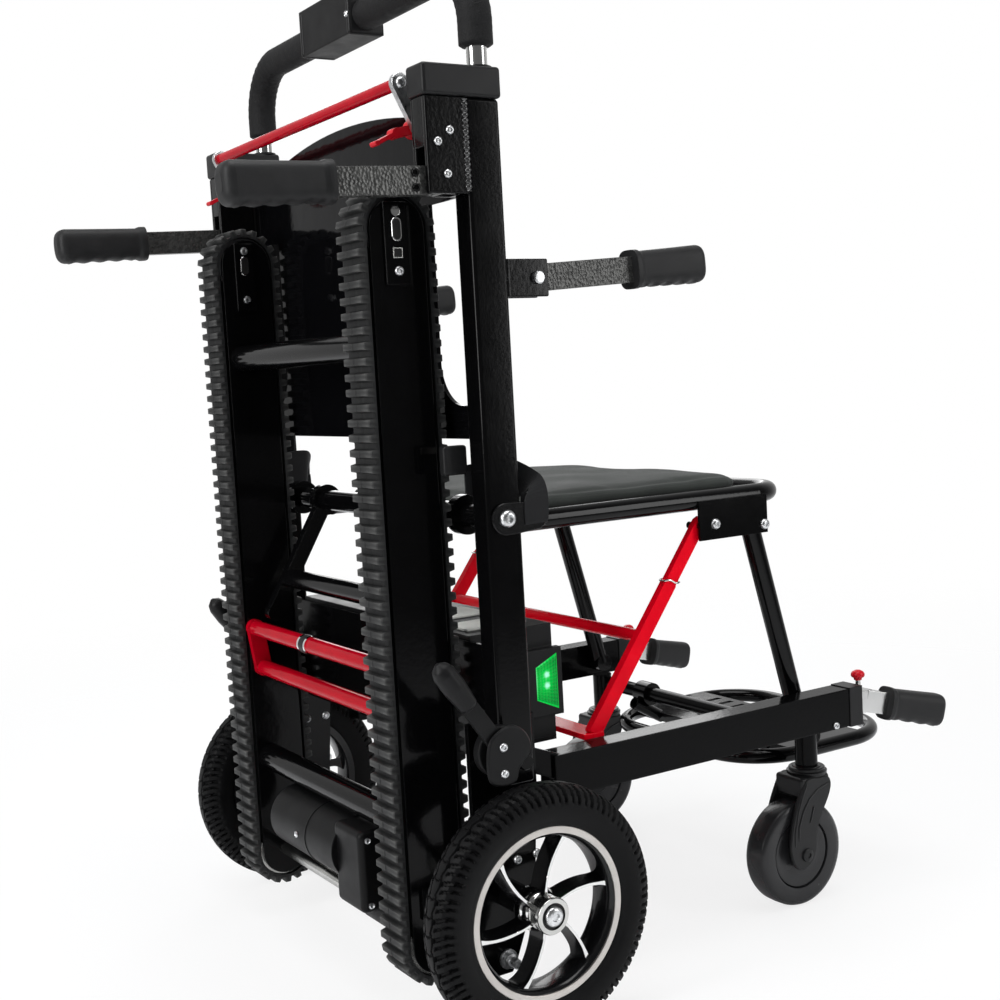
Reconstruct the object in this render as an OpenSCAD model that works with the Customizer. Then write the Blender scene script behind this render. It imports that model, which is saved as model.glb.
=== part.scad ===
// Stair climbing wheelchair: folding seat on two uprights, with a toothed crawler behind.
// Millimetres, +X forward, +Y to the sitter's left, +Z up; the floor is z = 0.

/* [Rear wheels] */
// Rear wheel diameter over the tread
wheel_d = 246; // [240:1:250]
// Tyre width
tyre_w = 44; // [40:1:44]
// Middle of the tyre from the centre plane
wheel_y = 292.5; // [292.5:0.5:295]
// Rim flange diameter
rim_d = 168; // [162:1:172]
// Tyre shoulder radius
shoulder_r = 16; // [12:1:18]
// Rim barrel thickness
barrel_t = 12; // [8:1:14]
// Hub diameter
hub_d = 44; // [40:1:48]
// Spokes in a rim
spokes = 6; // [5:1:6]
// Spoke thickness
spoke_w = 11; // [8:1:13]
// Spoke bow radius
spoke_bow = 58; // [52:1:64]
// Axle diameter
axle_d = 16; // [14:1:18]

/* [Uprights] */
// Upright depth, front to back
up_d = 38; // [37:1:40]
// Upright width
up_w = 28; // [28:0.5:29]
// Upright middle from the centre plane
up_y = 254.5; // [254:0.5:255]
// Upright wall
up_wall = 1.5; // [1:0.1:1.5]
// Upright top height
up_top = 889; // [880:1:900]
// Upright bottom height
up_bot = 240; // [236:1:246]
// Length of the box bracket behind the upright
br_len = 42; // [40:1:44]
// Height of the box bracket
br_h = 88; // [84:1:92]
// Wheel plate thickness
wplate_t = 6; // [5:0.5:6]
// Wheel plate top height
wplate_top = 300; // [298:1:302]
// Top cap height
cap_h = 29; // [24:1:32]
// Top cap overhang all round
cap_over = 2; // [1:0.5:2]

/* [Push handle] */
// Handle tube diameter
push_d = 20; // [18:1:20]
// Handle tube ahead of the upright middle
push_x = 7; // [5:0.5:7]
// Crossbar height
push_z = 1019; // [1010:1:1040]
// Bend radius of the handle
push_bend = 58; // [50:1:64]
// Handle tube wall
tube_wall = 2; // [1.5:0.5:3]
// Tube length kept inside the upright
push_in = 330; // [320:5:340]
// Foam sleeve diameter
foam_d = 33; // [31:1:36]
// Bare tube between cap and foam
bare_h = 18; // [12:1:22]
// Control box length
ctrl_len = 122; // [110:2:140]
// Control box depth and height
ctrl_s = 40; // [38:1:44]
// Control box shift to the left
ctrl_y = 24; // [0:2:30]
// Rocker switch length
rocker_len = 30; // [26:1:34]
// Rocker switch width
rocker_w = 18; // [16:1:20]
// Rocker switch thickness
rocker_t = 6; // [5:0.5:7]

/* [Back and seat] */
// Half width of the back panel at its waist
back_half = 182; // [176:1:186]
// Back panel thickness
back_t = 4; // [3:0.5:5]
// Back panel top height
back_top = 905; // [898:1:910]
// Lower edge of the wide top
waist_top = 802; // [796:1:808]
// Back panel bottom height
back_bot = 574; // [570:1:580]
// Height of the lower bar of the back panel
back_bar = 32; // [28:1:36]
// Flare radius at the waist's lower corners
flare_r = 44; // [38:1:46]
// Arch radius of the back panel's top edge
arch_r = 840; // [800:10:900]
// Back pad thickness
bpad_t = 14; // [10:1:16]
// Seat axle height
seat_z = 498; // [494:1:502]
// Seat axle diameter
saxle_d = 24; // [22:1:26]
// Seat tube diameter
stube_d = 22; // [20:1:22]
// Seat tube height
stube_z = 484; // [482:1:485]
// Seat tube from the centre plane
stube_y = 195; // [193:1:195]
// Seat front tube ahead of the axle
seat_front = 426; // [415:1:435]
// Seat corner radius
seat_bend = 46; // [40:1:52]
// Seat pad length
spad_l = 318; // [300:2:324]
// Seat pad width
spad_w = 382; // [378:1:384]
// Seat pad thickness
spad_t = 14; // [12:0.5:15]
// Pad edge rounding
pad_r = 5; // [4:0.5:5]

/* [Fold linkage] */
// Leg top pivot ahead of the rear axle
leg_x1 = 373; // [370:1:376]
// Leg top pivot height
leg_z1 = 451; // [449:1:453]
// Leg foot ahead of the rear axle
leg_x0 = 434; // [431:1:436]
// Leg foot height
leg_z0 = 226; // [224:1:228]
// Leg diameter
leg_d = 22; // [20:1:22]
// Leg from the centre plane
leg_y = 193; // [192:1:193]
// Strut top pivot ahead of the rear axle
strut_x1 = 294; // [291:1:297]
// Strut top pivot height
strut_z1 = 456; // [454:1:458]
// Strut foot ahead of the rear axle
strut_x0 = 138; // [136:1:142]
// Strut foot height
strut_z0 = 250; // [249:1:254]
// Strut depth
strut_d = 20; // [18:1:22]
// Strut thickness across
strut_t = 18; // [16:1:18]

/* [Lower rails] */
// Rail inner face from the centre plane
rail_i = 208; // [208:1:209]
// Rail width
rail_w = 28; // [26:1:28]
// Rail bottom height
rail_z = 205; // [203:1:207]
// Rail height
rail_h = 44; // [42:1:46]
// Rail rear end ahead of the rear axle
rail_x0 = 64; // [62:1:68]
// Rail front end ahead of the rear axle
rail_x1 = 478; // [474:1:484]
// Rail wall
rail_wall = 2; // [1.5:0.1:2]
// Rail end cap length
rcap_l = 20; // [18:1:24]
// Rail pivot ahead of the rear axle
rp_x = 6; // [5:1:7]
// Rail pivot height
rp_z = 262; // [262:1:264]
// Front cross tube diameter
ftube_d = 19; // [17:1:20]
// Front cross tube ahead of the rear axle
ftube_x = 446; // [444:1:448]
// Front cross tube height
ftube_z = 194; // [193:1:194]

/* [Casters] */
// Caster wheel diameter
cast_d = 124; // [118:1:126]
// Caster wheel width
cast_w = 32; // [28:1:34]
// Caster stem ahead of the rear axle
cast_x = 441; // [439:1:443]
// Caster stem from the centre plane
cast_y = 200; // [199:1:200]
// Caster trail
trail = 26; // [22:1:30]
// Caster stem diameter
stem_d = 16; // [14:1:16]
// Caster socket diameter
socket_d = 26; // [24:1:26]

/* [Footrest] */
// Footrest tube diameter
foot_d = 18; // [16:1:18]
// Hanger from the centre plane
foot_y = 106; // [90:1:108]
// Ring width between tube middles
foot_w = 300; // [280:2:302]
// Ring rear tube ahead of the rear axle
foot_x0 = 404; // [400:1:412]
// Ring front tube ahead of the rear axle
foot_x1 = 646; // [636:1:656]
// Ring height
foot_z = 157; // [156:1:158]
// Ring corner radius
foot_bend = 76; // [66:1:84]
// Foot plate thickness
fplate_t = 3; // [2:0.5:4]

/* [Crawler] */
// Crawler middle behind the rear axle
cr_back = 65; // [65:0.5:66]
// Crawler middle from the centre plane
cr_y = 186; // [185:0.5:187]
// Belt inner radius at the pulleys
cr_r = 32; // [30:0.5:32]
// Belt thickness
belt_t = 4; // [3:0.5:4]
// Belt lug height
lug_h = 6; // [4:0.5:6]
// Belt width
belt_w = 46; // [42:1:46]
// Lugs along one straight run
run_lugs = 48; // [40:1:52]
// Lugs round one end
end_lugs = 9; // [7:1:10]
// Drive axle height
cr_bot = 80; // [78:1:82]
// Idler axle height
cr_top = 776; // [768:1:780]
// Drive shaft diameter
shaft_d = 14; // [12:1:16]
// Cross tube diameter
ctube_d = 30; // [26:1:32]
// Upper cross tube height
ctube_z1 = 668; // [660:1:676]
// Lower cross tube height
ctube_z0 = 196; // [195:1:206]
// Motor diameter
motor_d = 70; // [64:1:72]
// Motor length
motor_l = 160; // [150:5:170]

/* [Carry handles] */
// Handle arm thickness
arm_t = 14; // [12:0.5:14]
// Handle arm height
arm_h = 26; // [24:1:26]
// Grip height
grip_h = 40; // [36:1:42]
// Grip width
grip_w = 34; // [30:1:36]
// Rear grip end behind the rear axle
rear_reach = 257; // [250:1:265]
// Rear grip length
rear_grip_len = 104; // [96:2:110]
// Side handle pivot ahead of the upright front
sh_out = 34; // [32:1:36]
// Side handle pivot height
sh_z = 724; // [716:1:732]
// Side grip end ahead of the rear axle
side_reach = 264; // [256:1:272]
// Side grip length
side_grip_len = 92; // [86:2:98]
// Rear handles droop to the rear by this angle
rear_drop = 2; // [0:0.5:3]
// Side handles rise to the front by this angle
side_lift = 3.5; // [0:0.5:5]
// Front grip end ahead of the rear axle
front_reach = 628; // [620:1:636]
// Front grip length
front_grip_len = 82; // [76:2:86]
// Front grips turn down by this angle
front_drop = 14; // [8:1:18]
// Front grips turn out by this angle
front_out = 10; // [0:1:14]
// Front slide bar height
fbar_h = 26; // [22:1:26]
// Front slide bar thickness
fbar_t = 14; // [12:1:14]
// Plunger knob diameter
knob_d = 16; // [14:1:18]

/* [Small parts] */
// Pivot pin diameter
pin_d = 8; // [6:1:8]
// Brake lever length
brake_len = 105; // [95:1:110]
// Brake cover radius
brake_r0 = 25; // [22:1:25]
// Brake lever lean from upright
brake_lean = 35; // [32:1:40]
// Release bar diameter
rel_d = 12; // [10:1:14]
// Pedal bar diameter
pedal_d = 18; // [16:1:20]
// Pedal upper bar height
pedal_z1 = 353; // [348:1:358]
// Distance between the pedal bars
pedal_h = 48; // [44:1:54]
// Lamp lens length
lens_l = 26; // [22:1:32]
// Webbing width
web_w = 40; // [34:1:42]
// Webbing thickness
web_t = 3; // [2:0.5:3]

/* [Clearances] */
// Radial running clearance of a pin
run = 0.05; // [0.03:0.01:0.08]
// Side gap beside a moving arm
side_gap = 0.5; // [0.4:0.1:0.8]
// Gap between parts that nearly touch
gap = 0.3; // [0.3:0.05:0.4]
// Overrun of a cut
over = 2; // [1:0.5:3]

/* [Hidden] */
$fn = 72;

wheel_r = wheel_d / 2;
rim_rad = rim_d / 2;
axle_r = axle_d / 2;
pin_r = pin_d / 2;
foot_front = foot_x1 + foot_d / 2;
up_i = up_y - up_w / 2;
up_o = up_y + up_w / 2;
push_y = up_i + up_wall + push_d / 2 + gap;
up_f = up_d / 2;
br_bot = up_top - br_h;
br_back = up_f + br_len;
knuckle_r = arm_h / 2;
rh_x = -br_back + knuckle_r + over;
rear_end = -rh_x + (rear_reach + rh_x) * cos(rear_drop) + grip_h / 2 * sin(rear_drop);
ax = -(foot_front - rear_end) / 2;
rh_z = br_bot + knuckle_r;
sh_x = up_f + sh_out;
cap_top = up_top + cap_h;
push_r = push_d / 2;
foam_r = foam_d / 2;
foam_bot = cap_top + bare_h;
back_x = -up_f / 2 - back_t;
rail_o = rail_i + rail_w;
rail_y = rail_i + rail_w / 2;
rail_top = rail_z + rail_h;
rail_mid = rail_z + rail_h / 2;
rcap_x = rail_x1 + rcap_l;
cr_x = -cr_back;
belt_o = cr_r + belt_t;
belt_y0 = cr_y - belt_w / 2;
belt_y1 = cr_y + belt_w / 2;
cast_r = cast_d / 2;
wheel_in = wheel_y - tyre_w / 2;
wheel_out = wheel_y + tyre_w / 2;

// Shapes used by several parts

// Moves a part drawn from the rear axle into the shared frame
module axle_frame() { translate([ax, 0, 0]) children(); }
// Draws a left part and its mirrored right twin
module both() {
  children();
  mirror([0, 1, 0]) children();
}
// Right twin of a left part
module right() { mirror([0, 1, 0]) children(); }
// Box from its two corners
module blk(x0, x1, y0, y1, z0, z1) { translate([x0, y0, z0]) cube([x1 - x0, y1 - y0, z1 - z0]); }
// Round bar along Y
module ybar(x, z, r, y0, y1) { translate([x, y0, z]) rotate([-90, 0, 0]) cylinder(r = r, h = y1 - y0); }
// Round bar along X
module xbar(x0, x1, y, z, r) { translate([x0, y, z]) rotate([0, 90, 0]) cylinder(r = r, h = x1 - x0); }
// Side outline made thick along Y
module slab(y0, y1) { translate([0, y1, 0]) rotate([90, 0, 0]) linear_extrude(y1 - y0) children(); }
// Round bar between two points of a side view
module rod(x0, z0, x1, z1, r, y) {
  translate([x0, y, z0]) rotate([0, atan2(x1 - x0, z1 - z0), 0])
    cylinder(r = r, h = norm([x1 - x0, z1 - z0]));
}
// Flat bar outline with round ends between two points of a side view
module strap(x0, z0, x1, z1, w) {
  translate([x0, z0]) rotate(atan2(z1 - z0, x1 - x0)) translate([0, side_gap - w / 2])
    square([norm([x1 - x0, z1 - z0]), w - 2 * side_gap]);
  translate([x0, z0]) circle(d = w);
  translate([x1, z1]) circle(d = w);
}
// Long round-ended outline of the crawler
module track(r) {
  translate([cr_x, cr_bot]) circle(r = r);
  translate([cr_x, cr_top]) circle(r = r);
  translate([cr_x - r, cr_bot]) square([2 * r, cr_top - cr_bot]);
}
// Quarter bend of a round bar in plan, from +X round to +Y
module bend(rb, r) { rotate_extrude(angle = 90) translate([rb, 0]) circle(r = r); }

// Uprights: rectangular tube, rear bracket, clevis, wheel plate and studs
clevis_t = 4;
clevis_h = 36;
clevis_in = arm_t / 2 + side_gap;
clevis_out = clevis_in + clevis_t;
web_t2 = 8;
wp_back = 38;
wp_front = 38;
wp_boss = 30;
wp_low = 228;
wp_tail = 44;
rel_x = -42;
rel_drop = 21;
rel_z = up_top - rel_drop;
rel_y1 = 228;
rel_y0 = 222;
rp_r = 6;
cp_r = 8;
arm_y0 = 224;
arm_y1 = 232;
shoulder = 14;
module upright() {
  difference() {
    union() {
      blk(-up_f, up_f, up_i, up_o, up_bot, up_top);
      blk(-br_back, -up_f, up_i, up_o, br_bot, up_top);
      translate([0, up_y, sh_z - clevis_h / 2]) {
        blk(up_f, up_f + clevis_t, -clevis_out, clevis_out, 0, clevis_h);
        blk(up_f, sh_x + knuckle_r, clevis_in, clevis_out, 0, clevis_h);
        blk(up_f, sh_x + knuckle_r, -clevis_out, -clevis_in, 0, clevis_h);
      }
      slab(up_i - wplate_t, up_i) {
        polygon([[-wp_back, wplate_top], [wp_front, wplate_top], [wp_front, wp_low], [wp_boss, wheel_r],
          [0, wp_tail], [-wp_back, wp_tail]]);
        translate([0, wheel_r]) circle(r = wp_boss);
      }
    }
    blk(-up_f + up_wall, up_f - up_wall, up_i + up_wall, up_o - up_wall, up_bot - over, up_top + over);
    blk(-br_back - over, -up_f - web_t2, up_y - clevis_in, up_y + clevis_in,
      br_bot - over, rh_z + knuckle_r + over);
  }
  ybar(rh_x, rh_z, pin_r, up_i + over, up_o - over);
  ybar(sh_x, sh_z, pin_r, up_y - clevis_out, up_y + clevis_out);
  ybar(0, wheel_r, axle_r, up_i - wplate_t, wheel_y + hub_out + axle_end);
  ybar(0, wheel_r, shoulder, up_i - wplate_t, wheel_y - hub_in - gap);
  ybar(0, wheel_r, shoulder, wheel_y + hub_out + gap, wheel_y + hub_out + axle_end);
  ybar(rp_x, rp_z, rp_r, arm_y0 - over, up_o + rp_r);
  ybar(rp_x, rp_z, cp_r, up_o, up_o + rp_r);
  ybar(0, wheel_r, cp_r, lug_y0 - over, up_i - wplate_t);
  ybar(rel_x, rel_z, pin_r, lat_y0 - over, up_i);
}
module uprights() { color("black") axle_frame() both() upright(); }

// Top caps with the guide bore of the push handle
module cap() {
  difference() {
    blk(-br_back - cap_over, up_f + cap_over, up_i - cap_over, up_o + cap_over, up_top, cap_top);
    translate([push_x, push_y, up_top - over]) cylinder(r = push_r + run, h = cap_h + 2 * over);
  }
}
module caps() { color("dimgray") axle_frame() both() cap(); }

// Push handle: bent tube, foam sleeve, control box and rocker switch
module u_bar(r, bot) {
  for (s = [0, 1]) mirror([0, s, 0]) {
    translate([push_x, push_y, bot]) cylinder(r = r, h = push_z - push_bend - bot);
    translate([push_x, push_y - push_bend, push_z - push_bend]) rotate([90, 0, 90]) bend(push_bend, r);
  }
  ybar(push_x, push_z, r, -push_y + push_bend, push_y - push_bend);
}
module handle_tube() {
  color("silver") axle_frame() difference() {
    u_bar(push_r, up_top - push_in);
    u_bar(push_r - tube_wall, up_top - push_in - over);
  }
}
module handle_foam() {
  color("black") axle_frame() difference() {
    u_bar(foam_r, foam_bot);
    u_bar(push_r + run, foam_bot - over);
  }
}
pocket = 9;
slack = 1.5;
rocker_pin = 2;
rocker_rise = 2;
ctrl_top = push_z + ctrl_s / 2 + pocket;
rocker_z = ctrl_top - 2 * rocker_pin + rocker_rise / 2;
rocker_half = rocker_w / 2 + 2 * slack + rocker_pin;
module control_box() {
  color("black") axle_frame() difference() {
    translate([push_x - ctrl_s / 2, ctrl_y - ctrl_len / 2, push_z - ctrl_s / 2])
      cube([ctrl_s, ctrl_len, ctrl_s + pocket]);
    ybar(push_x, push_z, foam_r + run, -ctrl_len, 2 * ctrl_len);
    translate([push_x - rocker_w / 2 - slack, ctrl_y - rocker_len / 2 - slack, push_z + ctrl_s / 2])
      cube([rocker_w + 2 * slack, rocker_len + 2 * slack, 2 * pocket]);
    xbar(push_x - rocker_half - slack, push_x + rocker_half + slack, ctrl_y, rocker_z, rocker_pin + run);
  }
}
module rocker() {
  color("dimgray") axle_frame() {
    translate([push_x - rocker_w / 2, ctrl_y - rocker_len / 2, ctrl_top + rocker_rise - rocker_t])
      cube([rocker_w, rocker_len, rocker_t]);
    xbar(push_x - rocker_half, push_x + rocker_half, ctrl_y, rocker_z, rocker_pin);
  }
}

// Back panel with a wide top, a waist and a flared lower bar
module half_back() {
  intersection() {
    translate([0, waist_top]) square([up_i, back_top - waist_top]);
    translate([0, back_top - arch_r]) circle(r = arch_r);
  }
  translate([0, back_bot]) square([up_i, back_bar]);
  translate([0, back_bot]) square([back_half, waist_top - back_bot]);
  difference() {
    translate([back_half, back_bot + back_bar]) square([flare_r, flare_r]);
    translate([back_half + flare_r, back_bot + back_bar + flare_r]) circle(r = flare_r);
  }
}
module back_panel() {
  color("black") axle_frame() translate([back_x, 0, 0]) rotate([90, 0, 90]) linear_extrude(back_t) {
    half_back();
    mirror([1, 0]) half_back();
  }
}

// Padded covers: round edge, drawn-in sides and a crowned top over a flat base
pad_points = 48;
pad_power = 0.22;
pad_draw = 5;
pad_crown = 4;
pad_edge_angles = [-90, -54, -18, 18, 54, 90];
pad_top_shares = [0.86, 0.62, 0.32];
function squared(v) = sign(v) * pow(abs(v), pad_power);
function pad_rim(hl, hw, draw, z) = [for (i = [0 : pad_points - 1])
  let (a = 360 * i / pad_points, u = squared(cos(a)), v = squared(sin(a)))
    [(hl - draw * (1 - v * v)) * u, (hw - draw * (1 - u * u)) * v, z]];
function pad_edge(l, w, t, a) = pad_rim(l / 2 - pad_r * (1 - cos(a)), w / 2 - pad_r * (1 - cos(a)), pad_draw,
  (a < 0 ? pad_r : t - pad_r) + pad_r * sin(a));
function pad_top(l, w, t, k) = pad_rim(k * (l / 2 - pad_r), k * (w / 2 - pad_r), k * pad_draw,
  t + pad_crown * (1 - k * k));
function pad_ring(k, i) = k * pad_points + i % pad_points;
module pad(l, w, t) {
  rims = [for (a = pad_edge_angles) pad_edge(l, w, t, a), for (k = pad_top_shares) pad_top(l, w, t, k)];
  last = len(rims) - 1;
  ends = len(rims) * pad_points;
  points = [for (rim = rims) each rim, [0, 0, 0], [0, 0, t + pad_crown]];
  faces = [for (k = [0 : last - 1], i = [0 : pad_points - 1]) each [
    [pad_ring(k, i), pad_ring(k + 1, i), pad_ring(k, i + 1)],
    [pad_ring(k, i + 1), pad_ring(k + 1, i), pad_ring(k + 1, i + 1)]],
    for (i = [0 : pad_points - 1]) [ends, pad_ring(0, i), pad_ring(0, i + 1)],
    for (i = [0 : pad_points - 1]) [ends + 1, pad_ring(last, i + 1), pad_ring(last, i)]];
  translate([l / 2, 0, 0]) polyhedron(points, faces);
}
pad_corner = 18;
bpad_bot = back_bot + back_bar + pad_corner;
bpad_h = waist_top - bpad_bot + pad_corner;
module back_pad() {
  color("black") axle_frame() translate([back_x + back_t + gap, 0, bpad_bot]) mirror([1, 0, -1])
    pad(bpad_h, 2 * (back_half - pad_corner), bpad_t);
}
spad_x = 50;
pad_wide = max([for (p = pad_rim(spad_l / 2, spad_w / 2, pad_draw, 0)) p.y]);
pad_side = stube_y - pad_wide + pad_r;
pad_seat = stube_d / 2 + pad_r + gap;
spad_z = stube_z - pad_r + sqrt(pad_seat * pad_seat - pad_side * pad_side);
module seat_pad() {
  color("black") axle_frame() translate([spad_x, 0, spad_z])
    pad(spad_l, spad_w, spad_t);
}

// Seat axle between the uprights
module seat_axle() { color("black") axle_frame() ybar(0, seat_z, saxle_d / 2, -up_i, up_i); }

// Battery tray, battery box and lamps
bat_x0 = -4;
bat_x1 = 94;
bat_z0 = 258;
bat_z1 = 376;
bat_y = 196;
tray_t = 4;
tray_bot = 306;
tray_top = 372;
lamp_x0 = 52;
lamp_x1 = 99;
lamp_z0 = 282;
lamp_z1 = 352;
lamp_t = 9;
lens_t = 1.5;
module battery_tray() {
  color("black") axle_frame() {
    blk(bat_x0 - tray_t, bat_x0, -up_i, up_i, tray_bot, tray_top);
    blk(bat_x0 - tray_t, bat_x0, -bat_y, bat_y, bat_z0 - tray_t, tray_bot);
    blk(bat_x0 - tray_t, bat_x1, -bat_y, bat_y, bat_z0 - tray_t, bat_z0);
  }
}
module battery_box() {
  color("dimgray") axle_frame() {
    blk(bat_x0, bat_x1, -bat_y, bat_y, bat_z0, bat_z1);
    both() blk(lamp_x0, lamp_x1, bat_y, bat_y + lamp_t, lamp_z0, lamp_z1);
  }
}
lens_edge = 6;
module lens() {
  slab(bat_y + lamp_t, bat_y + lamp_t + lens_t)
    polygon([[lamp_x1 - lens_edge - lens_l, lamp_z0 + 3 * lens_edge], [lamp_x1 - lens_edge, lamp_z0 + lens_edge],
      [lamp_x1 - lens_edge, lamp_z1 - lens_edge], [lamp_x1 - lens_edge - lens_l, lamp_z1 - 3 * lens_edge]]);
}
module lamp_lenses() { color("lime") axle_frame() both() lens(); }

// Bolts and screws of the frame
screw_r = 5.5;
screw_h = 3;
small_r = 4;
anchor_t = 4;
br_screw_shares = [[0.42, 0.65], [0.72, 0.53], [0.52, 0.2]];
module side_screws() {
  ybar(0, seat_z, screw_r + screw_h, up_o + anchor_t, up_o + anchor_t + screw_h);
  for (p = br_screw_shares)
    ybar(-up_f - br_len * p[0], br_bot + br_h * p[1], small_r, up_o, up_o + screw_h);
  for (s = [-1, 1])
    ybar(brake_x - brake_r0 * brake_screw_share, brake_z + s * brake_r0 / 2, small_r,
      up_o + cover_t, up_o + cover_t + screw_h / 2);
}
module frame_screws() { color("silver") axle_frame() both() side_screws(); }

// Belt anchor plates and the webbing loops of the lap belt
anchor_r = 16;
anchor_x = 40;
anchor_drop = 1;
module anchor() {
  difference() {
    slab(up_o, up_o + anchor_t) strap(0, seat_z, anchor_x, seat_z - anchor_drop, 2 * anchor_r);
    ybar(0, seat_z, pin_r, up_o - over, up_o + anchor_t + over);
    blk(anchor_x - web_w / 2 + 2 * web_t, anchor_x + anchor_r - 2 * web_t,
      up_o - over, up_o + anchor_t + over, seat_z - anchor_drop, seat_z - anchor_drop + 2 * web_t);
  }
}
module belt_anchors() { color("black") axle_frame() both() anchor(); }
loop_h = 50;
loop_w = 24;
module web_loop() {
  translate([up_f + gap, up_y, seat_z + over]) rotate([90, 0, 90])
    linear_extrude(web_w) difference() {
      strap(0, loop_w / 2, 0, loop_h - loop_w / 2, loop_w);
      strap(0, loop_w / 2, 0, loop_h - loop_w / 2, loop_w - 2 * web_t);
    }
}
// Free end of the lap belt along the upright, with its buckle
buckle_x0 = -46;
buckle_x1 = -20;
buckle_z = 540;
buckle_h = 30;
buckle_t = 12;
tail_x = -28;
tail_h = 33;
tail_y = up_i - gap - web_t;
tail_z = seat_z + saxle_d / 2 + over;
module belt_end() {
  blk(tail_x, up_f + gap + web_t, tail_y, up_i - gap, tail_z, tail_z + tail_h);
  blk(up_f + gap, up_f + gap + web_t, tail_y, up_y, tail_z, tail_z + tail_h);
  blk(buckle_x0, buckle_x1, up_i - gap - buckle_t, up_i - gap, buckle_z, buckle_z + buckle_h);
}
module lap_belt() {
  color("black") axle_frame() both() {
    web_loop();
    belt_end();
  }
}

// Rear wheels: solid tyre and spoked rim
hub_in = 16;
hub_out = 24;
axle_end = 6;
module tyre_profile() {
  translate([rim_rad, -tyre_w / 2]) square([wheel_r - rim_rad - shoulder_r, tyre_w]);
  translate([rim_rad, shoulder_r - tyre_w / 2]) square([wheel_r - rim_rad, tyre_w - 2 * shoulder_r]);
  for (s = [-1, 1]) translate([wheel_r - shoulder_r, s * (tyre_w / 2 - shoulder_r)]) circle(r = shoulder_r);
}
module tyre() { translate([0, wheel_y, wheel_r]) rotate([90, 0, 0]) rotate_extrude() tyre_profile(); }
module tyre_l() { color("black") axle_frame() tyre(); }
module tyre_r() { color("black") axle_frame() right() tyre(); }
module spoke() {
  intersection() {
    difference() {
      circle(r = rim_rad - barrel_t + over);
      circle(r = hub_d / 2 - over);
    }
    translate([0, spoke_bow]) difference() {
      circle(r = spoke_bow + spoke_w / 2);
      circle(r = spoke_bow - spoke_w / 2);
    }
    translate([0, -rim_rad]) square([rim_rad, 2 * rim_rad]);
  }
}
rim_edge = 3;
module rim() {
  translate([0, wheel_y, wheel_r]) rotate([-90, 0, 0]) difference() {
    union() {
      difference() {
        translate([0, 0, rim_edge - tyre_w / 2]) cylinder(r = rim_rad, h = tyre_w - 2 * rim_edge);
        translate([0, 0, -tyre_w]) cylinder(r = rim_rad - barrel_t, h = 2 * tyre_w);
      }
      translate([0, 0, -hub_in]) cylinder(r = hub_d / 2, h = hub_in + hub_out);
      translate([0, 0, -spoke_w / 2]) linear_extrude(hub_out)
        for (i = [0 : spokes - 1]) rotate(i * 360 / spokes) spoke();
    }
    translate([0, 0, -tyre_w]) cylinder(r = axle_r + run, h = 2 * tyre_w);
  }
}
module rim_l() { color("gray") axle_frame() rim(); }
module rim_r() { color("gray") axle_frame() right() rim(); }

// Crawler beams: core, side plates, idler axles and tension plate
side_t = 4;
core_wall = 4;
side_in = 3;
tens_w = 24;
tens_l = 54;
tens_t = 3;
slot_w = 8;
slot_l = 20;
idler_axle = 6;
lug_bar = 32;
lug_y0 = belt_y1 + gap;
lug_y1 = lug_y0 + 2 * side_t;
pedal_x1 = -87;
pedal_x0 = -80;
module beam() {
  difference() {
    union() {
      slab(belt_y0 + side_t, belt_y1 - side_t) difference() {
        track(cr_r - gap);
        for (z = [cr_bot, cr_top]) translate([cr_x, z]) circle(r = cr_r + over);
      }
      slab(belt_y0, belt_y0 + side_t) track(cr_r - side_in);
      slab(belt_y1 - side_t, belt_y1) track(cr_r - side_in);
      blk(cr_x - tens_w / 2, cr_x + tens_w / 2, belt_y1, belt_y1 + tens_t,
        cr_top - tens_l, cr_top + tens_w);
      ybar(cr_x, cr_top, idler_axle, belt_y0, belt_y1);
      slab(lug_y0, lug_y1) strap(cr_x, wheel_r, 0, wheel_r, lug_bar);
      blk(cr_x - lug_bar / 2, cr_x + lug_bar / 2, belt_y1 - side_t, lug_y1,
        wheel_r - lug_bar / 2, wheel_r + lug_bar / 2);
    }
    blk(cr_x - cr_r + core_wall, cr_x + cr_r - core_wall, belt_y0 + side_t, belt_y1 - side_t,
      cr_bot + cr_r, cr_top - cr_r);
    translate([cr_x - slot_w / 2, belt_y1, cr_top - slot_l / 2]) cube([slot_w, 2 * tens_t, slot_l]);
    ybar(cr_x, cr_bot, shaft_d / 2 + run, belt_y0 - over, belt_y1 + over);
    ybar(0, wheel_r, cp_r + run, lug_y0 - over, lug_y1 + over);
    ybar(pedal_x1, pedal_z1, pin_r + run, belt_y0 - over, belt_y0 + 2 * side_t);
  }
}
module beams() { color("black") axle_frame() both() beam(); }

// Crawler belts: a rubber loop with raised lugs
lug_base_share = 0.62;
lug_tip_share = 0.46;
run_l = cr_top - cr_bot;
lug_p = run_l / run_lugs;
module lug() {
  polygon([[belt_o - belt_t / 2, -lug_p * lug_base_share / 2], [belt_o + lug_h, -lug_p * lug_tip_share / 2],
    [belt_o + lug_h, lug_p * lug_tip_share / 2], [belt_o - belt_t / 2, lug_p * lug_base_share / 2]]);
}
module belt() {
  slab(belt_y0, belt_y1) {
    difference() {
      track(belt_o);
      track(cr_r);
    }
    for (i = [0 : run_lugs - 1], s = [0, 180])
      translate([cr_x, cr_bot + (i + 1 / 2) * lug_p]) rotate(s) lug();
    for (i = [0 : end_lugs - 1]) {
      translate([cr_x, cr_top]) rotate((i + 1 / 2) * 180 / end_lugs) lug();
      translate([cr_x, cr_bot]) rotate(180 + (i + 1 / 2) * 180 / end_lugs) lug();
    }
  }
}
module belts() { color("black") axle_frame() both() belt(); }

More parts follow.
